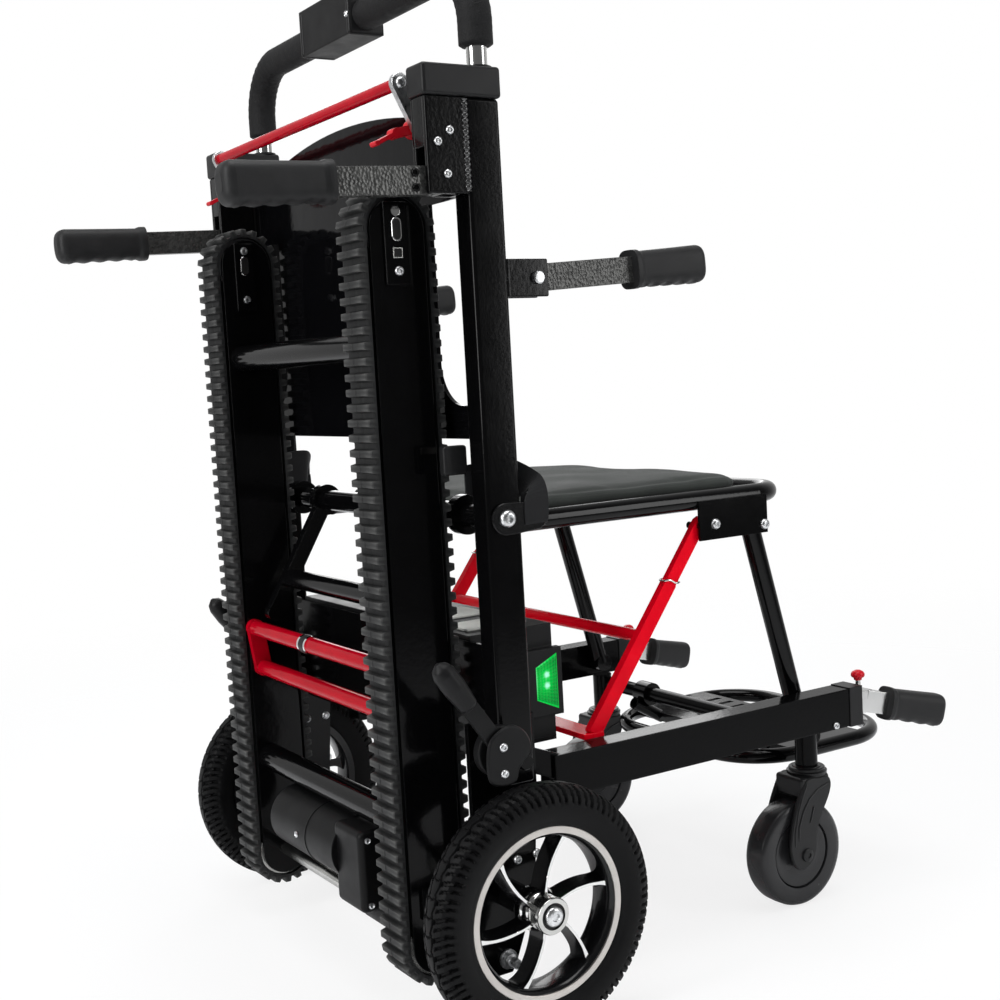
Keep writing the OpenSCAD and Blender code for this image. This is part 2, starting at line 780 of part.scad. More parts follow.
// Cross tubes, motor and gearbox between the beams
ctube_back = 12;
module crawler_tubes() {
  color("black") axle_frame() for (z = [ctube_z0, ctube_z1])
    ybar(cr_x - ctube_back, z, ctube_d / 2, -belt_y0, belt_y0);
}
motor_y = -70;
motor_back = 12;
motor_z = 144;
gear_y = -124;
gear_x0 = -105;
gear_x1 = -42;
gear_z0 = 66;
gear_z1 = 178;
module motor() {
  color("dimgray") axle_frame() ybar(cr_x - motor_back, motor_z, motor_d / 2, motor_y, motor_y + motor_l);
}
module gearbox() {
  color("dimgray") axle_frame() difference() {
    union() {
      blk(gear_x0, gear_x1, gear_y, motor_y, gear_z0, gear_z1);
      ybar(cr_x, cr_bot, shaft_d, -belt_y0, gear_y);
    }
    ybar(cr_x, cr_bot, shaft_d / 2 + run, -belt_y1, 0);
  }
}
// Drive shaft with sprockets, and the idler pulleys
module drum() { ybar(cr_x, cr_bot, cr_r - gap, belt_y0 + side_t + gap, belt_y1 - side_t - gap); }
module drive_shaft() {
  color("silver") axle_frame() {
    ybar(cr_x, cr_bot, shaft_d / 2, -belt_y1 - tens_t, belt_y1 + tens_t);
    both() drum();
  }
}
module idler() {
  difference() {
    ybar(cr_x, cr_top, cr_r - gap, belt_y0 + side_t + gap, belt_y1 - side_t - gap);
    ybar(cr_x, cr_top, idler_axle + run, belt_y0, belt_y1);
  }
}
module idlers() { color("dimgray") axle_frame() both() idler(); }

// Red foot pedal on the crawler
pedal_z0 = pedal_z1 - pedal_h;
pedal_arm = 8;
pedal_y = belt_y0 - side_gap;
module pedal() {
  color("red") axle_frame() {
    ybar(pedal_x1, pedal_z1, pedal_d / 2, -pedal_y, pedal_y);
    ybar(pedal_x1, pedal_z1, pin_r, -belt_y0 - side_t, belt_y0 + side_t);
    ybar(pedal_x0, pedal_z0, pedal_d / 2, -pedal_y, pedal_y);
    both() slab(pedal_y - pedal_arm, pedal_y) strap(pedal_x1, pedal_z1, pedal_x0, pedal_z0, pedal_d + over);
  }
}

// Link frame from the seat axle down to the crawler
link_y0 = 122;
link_y1 = 134;
link_w = 18;
link_ring = 18;
link_share = 0.86;
link_tube_share = 0.6;
link_x = pedal_x1 * link_share;
link_z = seat_z - (seat_z - pedal_z1) * link_share;
module link_frame() {
  color("black") axle_frame() difference() {
    union() {
      both() slab(link_y0, link_y1) {
        strap(0, seat_z, link_x, link_z, link_w);
        translate([0, seat_z]) circle(r = link_ring);
      }
      ybar(pedal_x1 * link_tube_share, seat_z - (seat_z - pedal_z1) * link_tube_share,
        link_w * link_tube_share, -link_y0, link_y0);
    }
    ybar(0, seat_z, saxle_d / 2 + run, -link_y1 - over, link_y1 + over);
  }
}

// Red release bar on zinc links, and the red latch levers
rel_bx = -62;
rel_rise = 18;
rel_bz = up_top + rel_rise;
rel_w = 18;
module release_bar() {
  color("red") axle_frame() difference() {
    union() {
      ybar(rel_bx, rel_bz, rel_d / 2, -rel_y0, rel_y0);
      both() slab(rel_y0, rel_y1) strap(rel_x, rel_z, rel_bx, rel_bz, rel_w);
    }
    ybar(rel_x, rel_z, pin_r + run, -up_i, up_i);
  }
}
lat_y0 = 206;
lat_y1 = 218;
lat_x = -84;
lat_drop = 31;
lat_z = up_top - lat_drop;
lat_t = 5;
module latches() {
  color("red") axle_frame() both() difference() {
    slab(lat_y0, lat_y1) {
      translate([rel_x, rel_z]) circle(d = rel_w);
      strap(rel_x, rel_z, (rel_x + lat_x) / 2, lat_z + lat_t, lat_t * 2);
      strap((rel_x + lat_x) / 2, lat_z + lat_t, lat_x, lat_z - lat_t, lat_t);
    }
    ybar(rel_x, rel_z, pin_r + run, 0, up_i);
  }
}

// Carry handles: flat arm with a round eye, and a moulded grip
grip_in = 14;
module arm(x, z, x1) {
  difference() {
    slab(up_y - arm_t / 2, up_y + arm_t / 2) {
      translate([x, z]) circle(r = knuckle_r);
      translate([min(x, x1), z - arm_h / 2]) square([abs(x1 - x), arm_h]);
    }
    ybar(x, z, pin_r + run, up_i, up_o);
  }
}
module grip(x0, x1, yc, z, hw, hh) {
  difference() {
    translate([x0, yc, z]) rotate([0, 90, 0]) linear_extrude(x1 - x0) grip_outline();
    blk(x0 + grip_in, x1 - grip_in, yc - hw, yc + hw, z - hh, z + hh);
    blk(x0 - over, x0 + 2 * grip_in, yc - hw, yc + hw, z - hh, z + hh);
  }
}
module grip_outline() {
  for (s = [-1, 1]) translate([s * (grip_h - grip_w) / 2, 0]) circle(r = grip_w / 2);
  translate([-(grip_h - grip_w) / 2, -grip_w / 2]) square([grip_h - grip_w, grip_w]);
}
// Turns a carry handle up about its pivot
module lift(x, z, a) { translate([x, 0, z]) rotate([0, a, 0]) translate([-x, 0, -z]) children(); }
module rear_arm() { lift(rh_x, rh_z, -rear_drop) arm(rh_x, rh_z, -rear_reach + grip_in); }
module rear_grip() {
  lift(rh_x, rh_z, -rear_drop) mirror([1, 0, 0])
    grip(rear_reach - rear_grip_len, rear_reach, up_y, rh_z, arm_t / 2, arm_h / 2);
}
module rear_arm_l() { color("dimgray") axle_frame() rear_arm(); }
module rear_arm_r() { color("dimgray") axle_frame() right() rear_arm(); }
module rear_grip_l() { color("black") axle_frame() rear_grip(); }
module rear_grip_r() { color("black") axle_frame() right() rear_grip(); }
module side_arm() { lift(sh_x, sh_z, -side_lift) arm(sh_x, sh_z, side_reach - grip_in); }
module side_grip() {
  lift(sh_x, sh_z, -side_lift)
    grip(side_reach - side_grip_len, side_reach, up_y, sh_z, arm_t / 2, arm_h / 2);
}
module side_arm_l() { color("dimgray") axle_frame() side_arm(); }
module side_arm_r() { color("dimgray") axle_frame() right() side_arm(); }
module side_grip_l() { color("black") axle_frame() side_grip(); }
module side_grip_r() { color("black") axle_frame() right() side_grip(); }

// Seat frame: bent tube, axle lugs and the front bracket plates with pivot pins
lug_t = 12;
lug_ring = 20;
plate_x0 = 289;
plate_x1 = 388;
plate_z0 = 440;
plate_t = 3;
plate_y = stube_y + stube_d / 2 - plate_t / 2;
pin_in = 12;
stube_r = stube_d / 2;
seat_rear = 26;
module seat_half() {
  xbar(seat_rear, seat_front - seat_bend, stube_y, stube_z, stube_r);
  translate([seat_front - seat_bend, stube_y - seat_bend, stube_z]) bend(seat_bend, stube_r);
  ybar(seat_front, stube_z, stube_r, 0, stube_y - seat_bend);
  slab(stube_y - lug_t / 2, stube_y + lug_t / 2) {
    translate([0, seat_z]) circle(r = lug_ring);
    strap(0, seat_z, seat_rear + stube_r, stube_z, stube_d);
  }
  blk(plate_x0, plate_x1, plate_y, plate_y + plate_t, plate_z0, stube_z);
  ybar(strut_x1, strut_z1, pin_r, stube_y - pin_in, plate_y);
  ybar(leg_x1, leg_z1, pin_r, stube_y - pin_in, plate_y);
}
module seat_frame() {
  color("black") axle_frame() difference() {
    both() seat_half();
    ybar(0, seat_z, saxle_d / 2 + run, -up_i, up_i);
  }
}

// Front legs
leg_r = leg_d / 2;
leg_end = 4;
module leg() {
  difference() {
    union() {
      rod(leg_x1, leg_z1, leg_x0, leg_z0, leg_r, leg_y);
      ybar(leg_x1, leg_z1, leg_r + rcap_over, leg_y - leg_r + side_gap, leg_y + leg_r - side_gap);
      ybar(leg_x0, leg_z0, leg_r + rcap_over, leg_y - leg_r + side_gap, leg_y + leg_r - side_gap);
      ybar(leg_x0, leg_z0, pin_r, leg_y, leg_y + leg_r + leg_end - side_gap);
    }
    ybar(leg_x1, leg_z1, pin_r + run, leg_y - leg_d, leg_y + leg_d);
  }
}
module legs() { color("black") axle_frame() both() leg(); }

// Red strut frame
bar_share = 0.46;
bar_r = 7;
strut_y0 = leg_y - strut_t / 2;
strut_y1 = leg_y + strut_t / 2;
low_w = 26;
low_t = 6;
module strut_frame() {
  color("red") axle_frame() difference() {
    union() {
      both() slab(strut_y0, strut_y1) {
        translate([strut_x0, strut_z0]) rotate(atan2(strut_z1 - strut_z0, strut_x1 - strut_x0))
          translate([0, -strut_d / 2])
          square([norm([strut_x1 - strut_x0, strut_z1 - strut_z0]), strut_d]);
        translate([strut_x1, strut_z1]) circle(d = strut_d);
      }
      ybar(strut_x0 + (strut_x1 - strut_x0) * bar_share, strut_z0 + (strut_z1 - strut_z0) * bar_share,
        bar_r, -strut_y1, strut_y1);
      blk(strut_x0 - low_w / 2, strut_x0 + low_w / 2, -strut_y1, strut_y1,
        strut_z0 - low_t / 2, strut_z0 + low_t / 2);
    }
    ybar(strut_x1, strut_z1, pin_r + run, -up_i, up_i);
  }
}

// Lower rail frame: two rails, pivot arms, cross tube, caster sockets and strut rests
arm_w = 26;
arm_in = 30;
solid_l = 46;
socket_bot = 160;
socket_end = 4;
rest_in = 20;
rest_x0 = 130;
rest_x1 = 152;
rest_z0 = 222;
rest_t = 5;
module rail() {
  difference() {
    union() {
      blk(rail_x0, rail_x1, rail_i, rail_o, rail_z, rail_top);
      slab(arm_y0, arm_y1) strap(rp_x, rp_z, rail_x0 + arm_in, rail_mid, arm_w);
      translate([cast_x, cast_y, socket_bot]) cylinder(d = socket_d, h = rail_z - socket_bot + rail_wall);
      ybar(ftube_x, ftube_z, ftube_d / 2, 0, rail_i + rail_wall);
      blk(rest_x0, rest_x1, rail_i - rest_in, rail_i, rest_z0, rest_z0 + rest_t);
    }
    blk(rail_x0 + solid_l, rail_x1 + over, rail_i + rail_wall, rail_o - rail_wall,
      rail_z + rail_wall, rail_top - rail_wall);
    ybar(rp_x, rp_z, rp_r + run, arm_y0 - over, arm_y1 + over);
    translate([cast_x, cast_y, socket_bot - over])
      cylinder(r = stem_d / 2 + run, h = rail_z - socket_bot - socket_end + over);
  }
}
module rails() { color("black") axle_frame() both() rail(); }

// Rail end caps with the slot of the carry bar
rcap_over = 1;
plunger_r = 3;
plunger_x = rcap_x + knob_d / 2 + rcap_over;
plunger_top = 6;
module rail_cap() {
  difference() {
    blk(rail_x1, rcap_x, rail_i - rcap_over, rail_o + rcap_over, rail_z - rcap_over, rail_top + rcap_over);
    blk(rail_x1 - over, rcap_x + over, rail_y - fbar_t / 2 - gap, rail_y + fbar_t / 2 + gap,
      rail_mid - fbar_h / 2 - gap, rail_mid + fbar_h / 2 + gap);
  }
}
module rail_caps() { color("black") axle_frame() both() rail_cap(); }

// Front carry bars, bent out and down at the grip, and the plunger knobs
bar_back = 300;
elbow_x = rcap_x + knob_d + rcap_over;
elbow_l = front_reach - elbow_x;
// Carries the bent end of a front bar into place
module elbow() { translate([elbow_x, rail_y, rail_mid]) rotate([0, front_drop, front_out]) children(); }
module slide() {
  difference() {
    union() {
      blk(bar_back, elbow_x + fbar_t / 2, rail_y - fbar_t / 2, rail_y + fbar_t / 2,
        rail_mid - fbar_h / 2, rail_mid + fbar_h / 2);
      elbow() translate([0, -fbar_t / 2, -fbar_h / 2]) cube([elbow_l - grip_in, fbar_t, fbar_h]);
    }
    translate([plunger_x, rail_y, rail_mid]) cylinder(r = plunger_r + run, h = rail_h);
  }
}
module slide_l() { color("silver") axle_frame() slide(); }
module slide_r() { color("silver") axle_frame() right() slide(); }
module front_grip() { elbow() grip(elbow_l - front_grip_len, elbow_l, 0, 0, fbar_t / 2, fbar_h / 2); }
module front_grip_l() { color("black") axle_frame() front_grip(); }
module front_grip_r() { color("black") axle_frame() right() front_grip(); }
knob_h = 9;
module knob() {
  translate([plunger_x, rail_y, rail_mid + gap])
    cylinder(r = plunger_r, h = rail_top + plunger_top - rail_mid - gap);
  translate([plunger_x, rail_y, rail_top + plunger_top])
    cylinder(r1 = plunger_r, r2 = knob_d / 2, h = knob_h / 2);
  translate([plunger_x, rail_y, rail_top + plunger_top + knob_h / 2]) cylinder(d = knob_d, h = knob_h / 2);
}
module knob_l() { color("red") axle_frame() knob(); }
module knob_r() { color("red") axle_frame() right() knob(); }

// Casters: fork with stem, and wheel
fork_gap = 2;
fork_t = 5;
fork_rad = 24;
fork_top = socket_bot - gap;
fork_bot = 134;
hood_x = 28;
cpin_r = 5;
fork_y = cast_w / 2 + fork_gap;
hub_boss = 1;
module fork() {
  translate([cast_x, cast_y, fork_bot]) cylinder(r = stem_d / 2, h = rail_z - fork_bot - 2 * socket_end);
  translate([cast_x, cast_y, fork_bot]) cylinder(r = fork_rad, h = fork_top - fork_bot);
  blk(cast_x - hood_x, cast_x + fork_rad, cast_y - fork_y - fork_t, cast_y + fork_y + fork_t,
    fork_bot, fork_top - 2 * fork_t);
  for (s = [-1, 1]) translate([0, cast_y + s * (fork_y + fork_t / 2), 0])
    slab(-fork_t / 2, fork_t / 2) strap(cast_x - trail, cast_r, cast_x, fork_bot + fork_t, fork_rad);
  ybar(cast_x - trail, cast_r, cpin_r, cast_y - fork_y - fork_t, cast_y + fork_y + fork_t);
}
module fork_l() { color("dimgray") axle_frame() fork(); }
module fork_r() { color("dimgray") axle_frame() right() fork(); }
cast_round = 8;
module caster() {
  translate([cast_x - trail, cast_y, cast_r]) rotate([90, 0, 0]) rotate_extrude() {
    translate([cpin_r + run, -cast_w / 2]) square([cast_r - cast_round - cpin_r - run, cast_w]);
    translate([cpin_r + run, cast_round - cast_w / 2])
      square([cast_r - cpin_r - run, cast_w - 2 * cast_round]);
    for (s = [-1, 1]) translate([cast_r - cast_round, s * (cast_w / 2 - cast_round)])
      circle(r = cast_round);
  }
}
module caster_l() { color("dimgray") axle_frame() caster(); }
module caster_r() { color("dimgray") axle_frame() right() caster(); }

// Brake covers on the uprights and the brake levers
brake_x = -25;
brake_z = 279;
cover_t = 10;
brake_pin = 5;
brake_screw_share = 0.3;
lever_t = 6;
lever_w = 18;
bgrip_r = 12;
bgrip_share = 0.5;
bgrip_l = brake_len * (1 - bgrip_share);
mid_x = brake_x - brake_len * bgrip_share * sin(brake_lean);
mid_z = brake_z + brake_len * bgrip_share * cos(brake_lean);
lever_y0 = up_o + cover_t + screw_h / 2 + side_gap;
module cover() {
  ybar(brake_x, brake_z, brake_r0, up_o, up_o + cover_t);
  ybar(brake_x, brake_z, brake_pin, up_o, lever_y0 + lever_t + screw_h);
  ybar(brake_x, brake_z, 2 * brake_pin, lever_y0 + lever_t + gap, lever_y0 + lever_t + screw_h);
}
module brake_covers() { color("dimgray") axle_frame() both() cover(); }
module brake() {
  difference() {
    union() {
      slab(lever_y0, lever_y0 + lever_t) strap(brake_x, brake_z, mid_x, mid_z, lever_w);
      translate([mid_x, lever_y0 + lever_t / 2, mid_z]) rotate([0, -brake_lean, 0]) {
        cylinder(r = bgrip_r, h = bgrip_l);
        translate([0, 0, bgrip_l]) cylinder(r1 = bgrip_r, r2 = bgrip_r / 2, h = bgrip_r / 2);
      }
    }
    ybar(brake_x, brake_z, brake_pin + run, lever_y0 - over, lever_y0 + lever_t + over);
  }
}
module brake_l() { color("dimgray") axle_frame() brake(); }
module brake_r() { color("dimgray") axle_frame() right() brake(); }

// Footrest: two hangers on the cross tube, one wide tube ring and a slotted plate
collar_r = 15;
collar_l = 24;
stub_x = 424;
stub_z = 184;
stub_r = 6;
stub_l = 20;
foot_r = foot_d / 2;
fplate_in = 66;
fslot_w = 9;
fslots = 9;
fslot_share = 0.085;
fplate_x0 = foot_x0 + fplate_in;
fplate_x1 = foot_x1 - fplate_in;
foot_top = foot_z + foot_r;
module ring_half() {
  translate([foot_x1 - foot_bend, foot_w / 2 - foot_bend, foot_z]) bend(foot_bend, foot_r);
  translate([foot_x0 + foot_bend, foot_w / 2 - foot_bend, foot_z]) rotate([0, 0, 90])
    bend(foot_bend, foot_r);
  xbar(foot_x0 + foot_bend, foot_x1 - foot_bend, foot_w / 2, foot_z, foot_r);
  ybar(foot_x0, foot_z, foot_r, 0, foot_w / 2 - foot_bend);
  ybar(foot_x1, foot_z, foot_r, 0, foot_w / 2 - foot_bend);
  ybar(ftube_x, ftube_z, collar_r, foot_y - collar_l / 2, foot_y + collar_l / 2);
  rod(stub_x, stub_z, fplate_x0, foot_z, foot_r - rcap_over, foot_y);
}
module footrest() {
  color("black") axle_frame() difference() {
    union() {
      both() ring_half();
      blk(fplate_x0, fplate_x1, -foot_w / 2, foot_w / 2, foot_top - fplate_t, foot_top);
      blk(fplate_x0 - fslot_w, fplate_x0 + fslot_w, -foot_w / 2, foot_w / 2, foot_z - fplate_t, foot_top);
    }
    ybar(ftube_x, ftube_z, ftube_d / 2 + run, -up_i, up_i);
    both() translate([stub_x, foot_y, stub_z]) rotate([0, atan2(fplate_x0 - stub_x, foot_z - stub_z), 0])
      translate([0, 0, -over]) cylinder(r = stub_r, h = stub_l + over);
    for (i = [0 : fslots - 1])
      translate([fplate_x0 + 2 * fslot_w, foot_w * fslot_share * (i - (fslots - 1) / 2) - fslot_w / 2,
        foot_top - 2 * fplate_t])
        cube([fplate_x1 - fplate_x0 - 3 * fslot_w, fslot_w, 3 * fplate_t]);
  }
}

uprights();
caps();
back_panel();
back_pad();
seat_axle();
battery_tray();
battery_box();
lamp_lenses();
frame_screws();
belt_anchors();
lap_belt();
brake_covers();
handle_tube();
handle_foam();
control_box();
rocker();
tyre_r();
tyre_l();
rim_r();
rim_l();
beams();
belts();
crawler_tubes();
motor();
gearbox();
drive_shaft();
idlers();
pedal();
link_frame();
release_bar();
latches();
rear_arm_r();
rear_grip_r();
rear_arm_l();
rear_grip_l();
side_arm_r();
side_grip_r();
side_arm_l();
side_grip_l();
seat_frame();
seat_pad();
legs();
strut_frame();
rails();
rail_caps();
slide_r();
front_grip_r();
slide_l();
front_grip_l();
knob_r();
knob_l();
fork_r();
fork_l();
caster_r();
caster_l();
brake_r();
brake_l();
footrest();
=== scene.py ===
from math import radians

import bmesh
import bpy
import numpy as np
from mathutils import Matrix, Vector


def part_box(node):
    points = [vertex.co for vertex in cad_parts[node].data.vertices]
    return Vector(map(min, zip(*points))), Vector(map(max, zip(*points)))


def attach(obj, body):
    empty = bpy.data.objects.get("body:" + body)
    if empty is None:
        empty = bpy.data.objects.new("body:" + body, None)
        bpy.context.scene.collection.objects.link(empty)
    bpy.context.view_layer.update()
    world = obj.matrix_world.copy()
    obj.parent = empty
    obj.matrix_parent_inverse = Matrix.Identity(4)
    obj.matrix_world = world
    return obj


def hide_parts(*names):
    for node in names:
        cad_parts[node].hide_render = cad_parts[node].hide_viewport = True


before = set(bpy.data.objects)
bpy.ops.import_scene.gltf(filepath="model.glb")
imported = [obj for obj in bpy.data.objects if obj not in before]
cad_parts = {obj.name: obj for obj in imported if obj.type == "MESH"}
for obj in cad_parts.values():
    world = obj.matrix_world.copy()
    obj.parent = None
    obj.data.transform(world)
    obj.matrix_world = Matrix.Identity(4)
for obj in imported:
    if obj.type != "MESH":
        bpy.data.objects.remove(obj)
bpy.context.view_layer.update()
scene = bpy.context.scene

# Studio
# Camera at knee height behind the right rear wheel, a white floor that fades into a white
# surround, and soft panels at the left, the right, above and behind.


def stand(name, data, side, up, back, place):
    """A camera or lamp at place in metres, its own X, Y and Z axes along side, up and back."""
    made = bpy.data.objects.new(name, data)
    axes = np.eye(4)
    axes[:3] = np.stack([side, up, back, place], axis=1)
    made.matrix_world = Matrix(axes.tolist())
    scene.collection.objects.link(made)
    return made


focal_mm, sensor_mm = 51.212, 36.0
yaw, pitch, roll = np.radians([58.029, 5.082, -3.177])
eye = np.array([-0.9116, -1.4037, 0.6350])
ahead = np.array([np.cos(yaw) * np.cos(pitch), np.sin(yaw) * np.cos(pitch), -np.sin(pitch)])
level = np.array([np.sin(yaw), -np.cos(yaw), 0.0])
above = np.cross(level, ahead)
across = np.cos(roll) * level + np.sin(roll) * above
upward = np.cos(roll) * above - np.sin(roll) * level
lens = bpy.data.cameras.new("photo_camera")
lens.lens, lens.sensor_width = focal_mm, sensor_mm
scene.camera = stand("photo_camera", lens, across, upward, -ahead, eye)
scene.view_settings.view_transform = "Standard"


def panel(name, place, target, width, height, watts):
    """Rectangular soft light of width by height metres at place, facing target."""
    data = bpy.data.lights.new(name, "AREA")
    data.shape, data.size, data.size_y, data.energy = "RECTANGLE", width, height, watts
    back = np.array(place) - np.array(target)
    back = back / np.linalg.norm(back)
    side = np.cross([0, 0, 1], back)
    side = side / np.linalg.norm(side)
    stand(name, data, side, np.cross(back, side), back, place)


panel("panel_left", (-2.6, -0.3, 1.5), (0, 0, 0.5), 1.0, 2.2, 48)
panel("panel_right", (1.7, -2.3, 1.3), (0.1, 0, 0.5), 0.8, 2.0, 22)
panel("panel_top", (-0.2, -0.4, 2.9), (0, 0, 0.4), 2.0, 1.6, 40)
panel("panel_back", (1.2, 2.2, 1.6), (0, 0, 0.6), 1.6, 1.6, 22)


def add(tree, kind, values=(), **settings):
    """New shader node of a kind, with settings on the node and values on its inputs."""
    made = tree.nodes.new("ShaderNode" + kind)
    for key, value in settings.items():
        setattr(made, key, value)
    for key, value in dict(values).items():
        made.inputs[key].default_value = value
    return made


def wire(tree, *links):
    """Joins node sockets pair by pair."""
    for source, target in links:
        tree.links.new(source, target)


world = bpy.data.worlds.new("surround")
scene.world = world
world.use_nodes = True
sky = world.node_tree
sky.nodes.clear()
ray, way = add(sky, "LightPath"), add(sky, "TexCoord")
toward_backdrop = add(sky, "VectorMath", {1: (0.53, 0.85, 0.0)}, operation="DOT_PRODUCT")
backdrop_level = add(sky, "MapRange", {"From Min": -0.1, "From Max": 0.6, "To Min": 0.15, "To Max": 0.8})
mirrored = add(sky, "Math", operation="MAXIMUM")
room = add(sky, "Background", {"Color": (0.92, 0.95, 1.0, 1), "Strength": 0.4})
backdrop = add(sky, "Background", {"Color": (1, 1, 1, 1)})
mirrored_room = add(sky, "Background")
pick_mirror, pick_camera = add(sky, "MixShader"), add(sky, "MixShader")
sky_out = add(sky, "OutputWorld")
wire(sky,
     (way.outputs["Generated"], toward_backdrop.inputs[0]),
     (toward_backdrop.outputs["Value"], backdrop_level.inputs["Value"]),
     (backdrop_level.outputs["Result"], mirrored_room.inputs["Strength"]),
     (ray.outputs["Is Glossy Ray"], mirrored.inputs[0]),
     (ray.outputs["Is Transmission Ray"], mirrored.inputs[1]),
     (mirrored.outputs["Value"], pick_mirror.inputs["Fac"]),
     (room.outputs["Background"], pick_mirror.inputs[1]),
     (mirrored_room.outputs["Background"], pick_mirror.inputs[2]),
     (ray.outputs["Is Camera Ray"], pick_camera.inputs["Fac"]),
     (pick_mirror.outputs["Shader"], pick_camera.inputs[1]),
     (backdrop.outputs["Background"], pick_camera.inputs[2]),
     (pick_camera.outputs["Shader"], sky_out.inputs["Surface"]))

floor_reach, floor_drop, floor_clear, floor_gone = 4.0, 0.0005, 0.9, 2.6
floor_mesh = bpy.data.meshes.new("floor")
floor_mesh.from_pydata([(x * floor_reach, y * floor_reach, -floor_drop)
                        for x, y in ((-1, -1), (1, -1), (1, 1), (-1, 1))], [], [(0, 1, 2, 3)])
floor = bpy.data.objects.new("floor", floor_mesh)
scene.collection.objects.link(floor)
white = bpy.data.materials.new("studio_floor")
white.use_nodes = True
paper = white.node_tree
paper.nodes.clear()
spot, floor_ray = add(paper, "TexCoord"), add(paper, "LightPath")
away = add(paper, "VectorMath", operation="LENGTH")
fade = add(paper, "MapRange", {"From Min": floor_clear, "From Max": floor_gone},
           interpolation_type="SMOOTHSTEP")
matt = add(paper, "BsdfDiffuse", {"Color": (0.93, 0.93, 0.93, 1)})
glow = add(paper, "Emission")
lift = add(paper, "Math", {1: 0.8}, operation="MULTIPLY")
lifted, faded = add(paper, "MixShader"), add(paper, "MixShader")
clear = add(paper, "BsdfTransparent")
floor_out = add(paper, "OutputMaterial")
wire(paper,
     (spot.outputs["Object"], away.inputs[0]),
     (away.outputs["Value"], fade.inputs["Value"]),
     (floor_ray.outputs["Is Camera Ray"], lift.inputs[0]),
     (lift.outputs["Value"], lifted.inputs["Fac"]),
     (matt.outputs["BSDF"], lifted.inputs[1]),
     (glow.outputs["Emission"], lifted.inputs[2]),
     (fade.outputs["Result"], faded.inputs["Fac"]),
     (lifted.outputs["Shader"], faded.inputs[1]),
     (clear.outputs["BSDF"], faded.inputs[2]),
     (faded.outputs["Shader"], floor_out.inputs["Surface"]))
floor_mesh.materials.append(white)

# Uprights
# Two rectangular steel tubes in gloss black enamel, each with a welded rear bracket, a front
# clevis and a wheel plate; the axle ends and the pivot pins are zinc plated.
tyre_lo, tyre_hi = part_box("tyre_r")
axle_x = (tyre_lo.x + tyre_hi.x) / 2


def enamel(name, colour, rough, spec=0.5, metal=0.0, coat=0.0, cloud=0.12, cloud_size=0.03,
           grain=0.12, grain_size=0.0012, cells=False, edge=0.0):
    """Surface finish: the colour drifts by a share cloud over cloud_size metres, the roughness
    drifts with it, and a fine relief of grain_size (noise, or round cells) bumps it. With an
    edge in metres, sharp sheet edges catch light as if rounded by it."""
    made = bpy.data.materials.new(name)
    made.use_nodes = True
    tree = made.node_tree
    shader = tree.nodes["Principled BSDF"]
    for key, value in (("Metallic", metal), ("Specular IOR Level", spec), ("Coat Weight", coat),
                       ("Coat Roughness", 0.06)):
        shader.inputs[key].default_value = value
    low, high = 0.3, 0.7
    place = add(tree, "TexCoord")
    drift = add(tree, "TexNoise", {"Scale": 1 / cloud_size, "Detail": 4})
    tint = add(tree, "ValToRGB")
    for stop, at, share in zip(tint.color_ramp.elements, (low, high), (1 - cloud, 1 + cloud)):
        stop.position, stop.color = at, (*[min(1, c * share) for c in colour], 1)
    polish = add(tree, "MapRange", {"From Min": low, "From Max": high, "To Min": rough * 0.85,
                                    "To Max": min(1, rough * 1.15)})
    relief = add(tree, "TexVoronoi" if cells else "TexNoise", {"Scale": 1 / grain_size})
    bump = add(tree, "Bump", {"Strength": grain, "Distance": grain_size / 3})
    wire(tree,
         (place.outputs["Object"], drift.inputs["Vector"]),
         (place.outputs["Object"], relief.inputs["Vector"]),
         (drift.outputs["Fac"], tint.inputs["Fac"]),
         (drift.outputs["Fac"], polish.inputs["Value"]),
         (tint.outputs["Color"], shader.inputs["Base Color"]),
         (polish.outputs["Result"], shader.inputs["Roughness"]),
         (relief.outputs["Distance" if cells else "Fac"], bump.inputs["Height"]),
         (bump.outputs["Normal"], shader.inputs["Normal"]))
    if edge:
        rounding = add(tree, "Bevel", {"Radius": edge}, samples=4)
        wire(tree, (rounding.outputs["Normal"], bump.inputs["Normal"]))
    return made


def skin(rings, loop=False):
    """Surface over rings of points, shape (rings, points, 3): quads join each point to the next
    in its ring and to the ring after; the last ring meets the first in a loop, else both ends
    get a flat face."""
    n, m = rings.shape[:2]
    i, j = np.meshgrid(np.arange(n if loop else n - 1), np.arange(m), indexing="ij")
    after, beside = (i + 1) % n, (j + 1) % m
    faces = np.stack([i * m + j, i * m + beside, after * m + beside, after * m + j], -1)
    faces = faces.reshape(-1, 4).tolist()
    if not loop:
        faces += [list(range(m))[::-1], list(range((n - 1) * m, n * m))]
    return rings.reshape(-1, 3), faces


